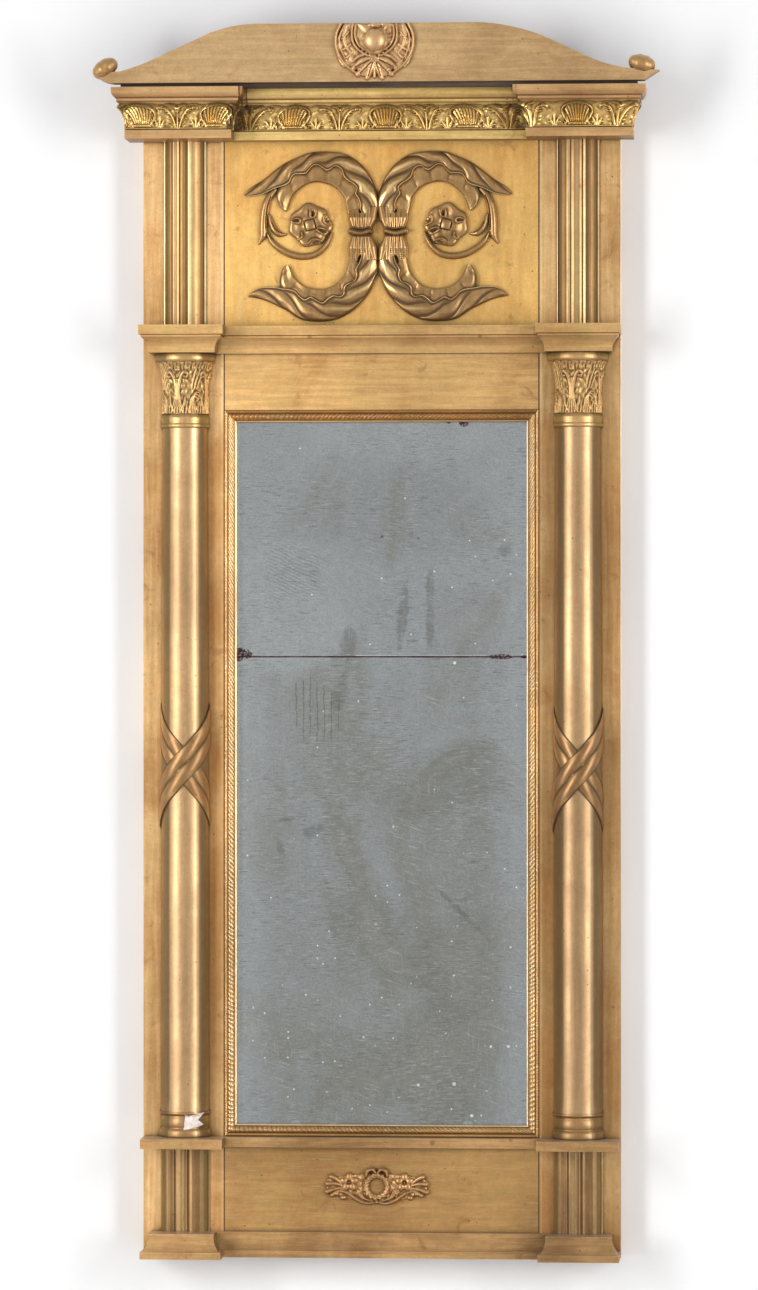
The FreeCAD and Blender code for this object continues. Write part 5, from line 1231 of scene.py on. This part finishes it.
def upright_slip(side):
    """Place for the slip on one side of the glass."""
    def place(along, across, rise):
        z = SLIP_FOOT + across + along * (SLIP_TOP - SLIP_FOOT - 2 * across)
        return side * (STILE_IN - across), -rise, z
    return place


def level_slip(z, into):
    """Place for the slip above or below the glass."""
    def place(along, across, rise):
        x = -STILE_IN + across + along * (2 * STILE_IN - 2 * across)
        return x, -rise, z + into * across
    return place


slip_gold = gilded("slip_gold", rgb(216, 168, 104), rgb(132, 88, 42), hidden="relief", Greening=0.2,
                   Pale=rgb(255, 232, 190), Cloud=0.6, Rub=0.5, Across=3.0, Along=3.0, Sheen=0.75)
top_slip_gold = gilded("top_slip_gold", rgb(190, 136, 76), rgb(118, 74, 34), hidden="relief", Greening=0.2,
                       Pale=rgb(240, 196, 132), Cloud=0.9, Rub=0.5, Across=3.0, Along=3.0, Sheen=0.7)
for name, length, place, seed, flip, crisp in (
        ("left", SLIP_TOP - SLIP_FOOT, upright_slip(-1), 3, True, 1.0),
        ("right", SLIP_TOP - SLIP_FOOT, upright_slip(1), 5, False, 1.0),
        ("top", 2 * STILE_IN, level_slip(SLIP_TOP, -1), 8, True, 0.5),
        ("bottom", 2 * STILE_IN, level_slip(SLIP_FOOT, 1), 13, False, 0.45)):
    cast(f"pressed_{name}_sight_moulding", [slip_shell(length, place, seed, crisp, flip)],
         top_slip_gold if name == "top" else slip_gold, [f"sight_moulding_{name}"])

# ---------------------------------------------------------------- mirror plates
# Two plates of blown glass, silvered with tin and mercury, meet at a level seam. The silvering has clouded
# and crept back from the edges, and the glass is scratched, flecked and streaked by a damp cloth.
SEAM = -0.6145  # level of the seam, in metres


def old_silvering():
    """Tone and gloss of aged silvering, by height and distance from the edges."""
    group = new_group("old_silvering", {"Cool": rgb(208, 213, 213), "Warm": rgb(176, 176, 168),
                                        "Foxing": rgb(74, 52, 56)},
                      {"Color": "Color", "Roughness": "Float", "Height": "Float"})
    t = Tree(group)
    given, place = t.given(), t.place()
    x, y, z = t.split(place)
    ragged = t.noise(place, 46.0, 6.0, 0.72, 0.3)

    def patch(middle, size, lean=0.0, soft=0.5, wander=0.5):
        """A mask round one place, in mm, with a soft or ragged outline; lean is mm across per mm up."""
        rise = z - middle[1] * MM
        across = x - middle[0] * MM - rise * lean
        out, up = t.math("DIVIDE", across, size[0] * MM), t.math("DIVIDE", rise, size[1] * MM)
        away = t.math("POWER", out, 2.0) + t.math("POWER", up, 2.0) + (ragged - 0.5) * (wander * 2.0)
        return t.ramp(away, 1.0 - soft, 1.0, 1.0, 0.0)

    def patches(places, soft, wander):
        """One mask from several patches, each given as middle, size and lean."""
        mask = patch(*places[0], soft=soft, wander=wander)
        for place in places[1:]:
            mask = mask | patch(*place, soft=soft, wander=wander)
        return mask

    # clouds, paler and bluer towards the edges and the top
    cloud = t.noise(t.stretched(place, 1.0, 1.0, 0.7), 7.0, 5.0, 0.6, 0.9)
    edges = t.ramp(abs(x), 0.11, 0.172) | (t.ramp(z, -0.40, -0.345) | patch((-110, -560), (90, 90)) * 0.8)
    tone = (t.ramp(cloud, 0.34, 0.66) + t.ramp(z, -0.5, -1.1, -0.05, 0.3)).held()
    tone = (tone - edges * 0.75).held()
    for middle, size, lean in (((20, -450), (130, 75), 0.0), ((60, -760), (95, 60), 0.6),
                               ((-20, -920), (60, 45), -0.3), ((70, -985), (46, 90), -0.4)):
        tone = (tone + patch(middle, size, lean, 0.9) * 0.35).held()
    colour = t.blend(tone, given["Cool"], given["Warm"])
    # finger and cloth marks that have taken the bloom off
    marks = patches((((-38, -600), (10, 26), 0.05), ((24, -568), (7, 52), 0.13), ((55, -560), (6, 56), 0.02),
                     ((141, -493), (11, 8), 0.0), ((-79, -813), (13, 9), 0.6), ((-108, -800), (16, 3), 3.0),
                     ((-115, -833), (5, 14), -0.3), ((-48, -655), (10, 30), 0.3),
                     ((90, -905), (5, 40), -1.0)), 0.9, 1.6)
    wiped = t.ramp(t.noise(t.stretched(place, 260.0, 1.0, 30.0), 1.0), 0.3, 0.5, 0.5, 1.0)
    colour = t.blend(marks * wiped * 0.5, colour, rgb(136, 137, 128))
    # a bundle of dark scratches under the seam, and slanting ones on the upper left
    wave = t.math("SINE", x * 780.0 + ragged * 5.0)
    clawed = t.ramp(wave, 0.86, 0.98) * patch((-76, -676), (30, 44), -0.25, 0.3, 1.4)
    slant = t.math("SINE", (z + x * 0.45) * 1500.0 + ragged * 12.0)
    clawed = clawed | t.ramp(slant, 0.6, 1.0, 0.0, 0.7) * patch((-104, -520), (44, 42), 0.0, 0.9, 1.2)
    colour = t.blend(clawed * 0.7, colour, rgb(122, 122, 116))
    # fine pale hatching from polishing, mostly level, and a few long curved hairs
    slid = t.out("ShaderNodeCombineXYZ", X=x, Y=y, Z=z + x * 0.38)
    level = t.noise(t.stretched(place, 60.0, 1.0, 560.0), 1.2, 4.0, 0.7, 0.4)
    slanted = t.noise(t.stretched(slid, 34.0, 1.0, 430.0), 1.2, 4.0, 0.7, 0.4)
    upright = t.noise(t.stretched(place, 420.0, 1.0, 40.0), 1.0, 4.0, 0.7, 0.3)
    where = t.noise(place, 12.0, 3.0, 0.6)
    slanting_there = patch((30, -520), (150, 95), 0.0, 0.9) | t.ramp(where, 0.5, 0.38)
    hatched = t.ramp(level, 0.54, 0.66) * t.ramp(where, 0.4, 0.56)
    hatched = hatched | t.ramp(slanted, 0.55, 0.66) * slanting_there
    hatched = hatched | t.ramp(upright, 0.56, 0.68, 0.0, 0.6) * t.ramp(where, 0.52, 0.42)
    colour = t.blend(hatched * 0.62, colour, rgb(230, 236, 236))
    colour = t.blend(t.ramp(level, 0.46, 0.36) * t.ramp(where, 0.36, 0.52) * 0.5, colour, rgb(132, 133, 128))
    swirl = t.noise(t.stretched(place, 9.0, 1.0, 26.0), 1.6, 5.0, 0.75, 2.2)
    colour = t.blend(t.line(swirl, 0.5, 0.0, 0.012) * 0.38, colour, rgb(232, 236, 238))
    grain = t.ramp(t.noise(place, 520.0, 4.0, 0.8), 0.3, 0.7, -0.12, 0.12)
    # flecks and rings: pale crumbs, thicker low down, and small dark pits
    crumb = None
    for scale, few, many, size in ((48.0, 0.98, 0.88, 0.12), (150.0, 0.96, 0.86, 0.18)):
        away, drawn = t.cells(place, scale)
        ring = t.line(away, size * 0.5, 0.0, size * 0.5) * (drawn[0] > t.ramp(z, -0.75, -1.1, few, many))
        crumb = crumb | ring if crumb else ring
        pit = t.ramp(away, 0.05, 0.1, 1.0, 0.0) * (drawn[0] < 0.02)
        colour = t.blend(pit * 0.7, colour, rgb(84, 80, 80))
    colour = t.blend(crumb * 0.5, colour, rgb(238, 244, 246))
    drips = patches((((-98, -1146), (6, 4)), ((-56, -1147), (5, 2.5)), ((42, -1148), (9, 2.5)),
                     ((98, -1146), (7, 4)), ((157, -1144), (4, 5)), ((-150, -1148), (9, 2)),
                     ((-12, -1148), (14, 1.6))), 0.4, 1.2)
    colour = t.blend(drips * 0.6, colour, rgb(220, 232, 238))
    # foxing creeps in from the left edge and the ends of the seam
    fox = patches((((-169, -612), (24, 9)), ((-170, -596), (6, 24)), ((-171, -650), (6, 36)),
                   ((-171, -760), (6, 22)), ((-171, -448), (4, 10)), ((134, -614.5), (14, 3.4)),
                   ((170, -614.5), (14, 2.2)), ((76, -347), (3, 2.5)), ((94, -348), (6, 5))), 0.35, 1.5)
    fox = fox * t.ramp(t.noise(place, 330.0, 4.0, 0.75), 0.34, 0.52)
    fox = fox | (abs(z - SEAM) < t.ramp(ragged, 0.3, 0.7, 0.0006, 0.0010))
    colour = t.blend(fox, colour, given["Foxing"])
    # light catches the upper plate's edge in two places along the seam
    lit = (abs(x + 0.0065) < 0.0235) | (abs(x - 0.06) < 0.06) * 0.55
    colour = t.blend((abs(z - SEAM - 0.0016) < 0.0006) * lit, colour, rgb(246, 250, 252))
    shaded = t.out("ShaderNodeHueSaturation", Value=grain + 1.0, Color=colour)
    rough = t.ramp(cloud, 0.3, 0.7, 0.2, 0.3) + (fox | crumb) * 0.5
    t.add("NodeGroupOutput", Color=shaded, Roughness=rough, Height=swirl)
    return group


material, t = new_material("old_mirror_plate")
silver = t.add("ShaderNodeGroup", {"node_tree": old_silvering()}).outputs
t.surface(silver["Color"], 1.0, silver["Roughness"], silver["Height"], 0.05, 0.0003)
finish(material, "upper_plate", "lower_plate")

# ---------------------------------------------------------------- mount on the foot panel
# A small cast mount: a wreath of leaves with two curls on top, a five-petalled flower each side, and a
# spray of lobes, berries and stems that meets on a bead below.
spray = Relief((-64.5, -26.5), (64.5, 26.5), 0.4)
spray.contrast = 0.4
bow = spray.u ** 2
ground = (np.abs(spray.u) < 57) & (spray.v > 0.0042 * bow - 19) & (spray.v < 13.5 - 0.0022 * bow)
ground &= np.hypot(spray.u, spray.v + 1) > 10
spray.height = np.where(ground, 2.2 + 0.7 * np.sin(spray.u / 1.7 + 1.3 * np.sin(spray.v / 2.1)), SUNK)


def small_flower(x, z, size):
    """Five petals round a deep eye."""
    for k in range(5):
        turn = math.radians(90 + 72 * k)
        spray.dome((x + size * 0.55 * math.cos(turn), z + size * 0.55 * math.sin(turn)),
                   (size * 0.52, size * 0.44), 5.4, turn=90 + 72 * k)
    spray.dome((x, z), (size * 0.26, size * 0.26), 2.4, way="cut")
    spray.dome((x, z), (size * 0.14, size * 0.14), 2.6)


spray.start(0, -1.0)
for step in range(16):
    turn = math.radians(step * 22.5 + 11)
    after = turn + 0.5
    spray.stroke([(10.6 * math.cos(turn), 10.6 * math.sin(turn)),
                  (14.6 * math.cos(after), 14.6 * math.sin(after))], (2.3, 1.9), (4.6, 6.2))
ring = np.radians(np.linspace(0, 360, 40))
spray.stroke(np.stack([12.6 * np.cos(ring), 12.6 * np.sin(ring)], -1), 2.8, 5.4)
for side in (-1, 1):
    spray.start(side=side)
    spray.stroke([(1.0, 14.5), (5.0, 18.4), (10.2, 16.6), (12.0, 11.0)], (1.6, 2.8, 2.8, 1.8),
                 (5.2, 7.2, 7.0, 5.4))
    spray.dome((6.6, 14.4), (2.1, 1.7), 2.6, way="cut")
    small_flower(31.5, 3.5, 11.0)
    # lobes, berries and stems
    for start, end, wide in (((40, 2), (52, 10), 3.6), ((40, 0), (56, 2), 3.5), ((39, -3), (56.5, -7), 3.4),
                             ((38, -5), (51, -11), 3.0)):
        middle = ((start[0] + end[0]) / 2, (start[1] + end[1]) / 2 + 1.2)
        spray.stroke([start, middle, end], (1.8, wide * 0.8, wide), (3.6, 5.0, 6.0))
    spray.dome((45.5, -9.2), (3.4, 3.2), 6.2)
    spray.dome((38.0, -13.6), (4.4, 3.4), 5.8)
    spray.stroke([(42, -6.0), (33, -8.5), (23, -15.5), (12, -20.0), (3, -19.5)], (1.8, 2.6, 2.7, 2.2, 1.6),
                 (4.6, 5.8, 6.2, 6.0, 5.0))
    for k in range(3):
        spray.stroke([(19.5 + 1.8 * k, -5.0 + 0.6 * k), (14.5 + 1.6 * k, -13.5), (4, -18.4)],
                     (1.0, 1.2, 0.8), (4.0, 4.8, 4.2))
    spray.dome((22.5, -8.5), (2.2, 4.2), 4.6, turn=30)
    spray.dome((19.5, 6.5), (2.0, 1.8), 4.4)
spray.start()
spray.dome((0, -18.4), (2.9, 2.9), 7.4)
small_gold = gilded("foot_mount_gold", rgb(228, 180, 124), rgb(146, 106, 64), hidden="relief", Greening=0.3,
                    Pale=rgb(236, 200, 150), Cloud=0.6, Sheen=0.75)
cast("cast_foot_mount", [laid(spray, flat_at(-5.0, -1215.5, BOARD))], small_gold,
     ["lower_mount"])

# ---------------------------------------------------------------- backboards, blocks and brads
# Thin pine boards cover the backs of the plates. Glue blocks and bent brads hold them in the rebates, and
# a bare rail closes the head behind the cornice.
finish(pine, "backboards", "glazing_blocks", "head_rail")

iron, t = new_material("forged_iron")
rust = t.ramp(t.noise(t.place(), 140.0, 6.0, 0.7), 0.45, 0.68)
t.surface(t.blend(rust, rgb(74, 70, 68), rgb(122, 72, 44)), t.ramp(rust, 0.0, 1.0, 0.9, 0.1),
          t.ramp(rust, 0.0, 1.0, 0.42, 0.85), t.noise(t.place(), 480.0, 4.0, 0.7), 0.4, 0.0004)
finish(iron, "backboard_nails")

# ---------------------------------------------------------------- hangers
# Two forged plates are screwed to the back of the head, and a loop of wire hangs down in the eye of each.
finish(iron, "hanger_plates", "hanger_screws", "left_hanging_loop", "right_hanging_loop")

# ---------------------------------------------------------------- wall, floor and lamps
# The mirror hangs on a white wall over a pale floor, between two tall soft lamps. A third lamp lights the
# room from behind the wall.
WALL_HALF, WALL_TOP, FLOOR = 3.5, 2.6, -2.15


def sheet_of(name, corners, material):
    """A flat four-cornered surface of the room."""
    mesh = bpy.data.meshes.new(name)
    mesh.from_pydata(corners, [], [(0, 1, 2, 3)])
    made = bpy.data.objects.new(name, mesh)
    mesh.materials.append(material)
    bpy.context.scene.collection.objects.link(made)


def paint(name, colour, see_through):
    """Matt paint; the wall lets through what comes from behind it or lies hard against it."""
    material, t = new_material(name)
    surface = t.out("ShaderNodeBsdfDiffuse", Color=colour)
    if see_through:
        behind = t.out("ShaderNodeNewGeometry", "Backfacing")
        touching = t.out("ShaderNodeLightPath", "Ray Length") < 0.02
        surface = t.out("ShaderNodeMixShader", i0=behind | touching, i1=surface,
                        i2=t.out("ShaderNodeBsdfTransparent"))
    t.add("ShaderNodeOutputMaterial", Surface=surface)
    return material


sheet_of("room_wall", [(-WALL_HALF, 0.001, FLOOR), (WALL_HALF, 0.001, FLOOR),
                       (WALL_HALF, 0.001, WALL_TOP), (-WALL_HALF, 0.001, WALL_TOP)],
         paint("wall_paint", rgb(232, 232, 233), True))
sheet_of("room_floor", [(-WALL_HALF, -7.5, FLOOR), (WALL_HALF, -7.5, FLOOR),
                        (WALL_HALF, 4.0, FLOOR), (-WALL_HALF, 4.0, FLOOR)],
         paint("floor_paint", rgb(222, 220, 216), False))


def aimed(name, data, place, aim):
    """A lamp or camera that looks at one point."""
    made = bpy.data.objects.new(name, data)
    made.location = place
    made.rotation_mode = "QUATERNION"
    made.rotation_quaternion = (Vector(aim) - Vector(place)).to_track_quat("-Z", "Y")
    bpy.context.scene.collection.objects.link(made)
    return made


for name, place, wide, power in (("lamp_left", (-2.15, -2.35, -0.45), 0.7, 64.0),
                                 ("lamp_right", (2.45, -2.1, -0.45), 0.7, 58.0),
                                 ("lamp_behind", (0.6, 3.2, 0.2), 2.2, 60.0)):
    data = bpy.data.lights.new(name, "AREA")
    data.shape = "RECTANGLE"
    data.size, data.size_y, data.energy = wide, 2.2, power
    aimed(name, data, place, (0, 0, -0.6))

world = bpy.data.worlds.new("room_light")
bpy.context.scene.world = world
world.use_nodes = True
t = Tree(world.node_tree)
sky = t.out("ShaderNodeBackground", Color=(0.97, 0.98, 1.0, 1.0), Strength=0.45)
t.add("ShaderNodeOutputWorld", Surface=sky)

# ---------------------------------------------------------------- camera
# A long lens, level with the middle of the mirror and a little to its right.
camera_data = bpy.data.cameras.new("camera")
camera_data.lens = 153.23
camera_data.sensor_width = 36.0
bpy.context.scene.camera = aimed("camera", camera_data, (0.4231, -6.255, -0.5931), (-0.0045, 0.0, -0.6011))
bpy.context.scene.view_settings.view_transform = "Standard"
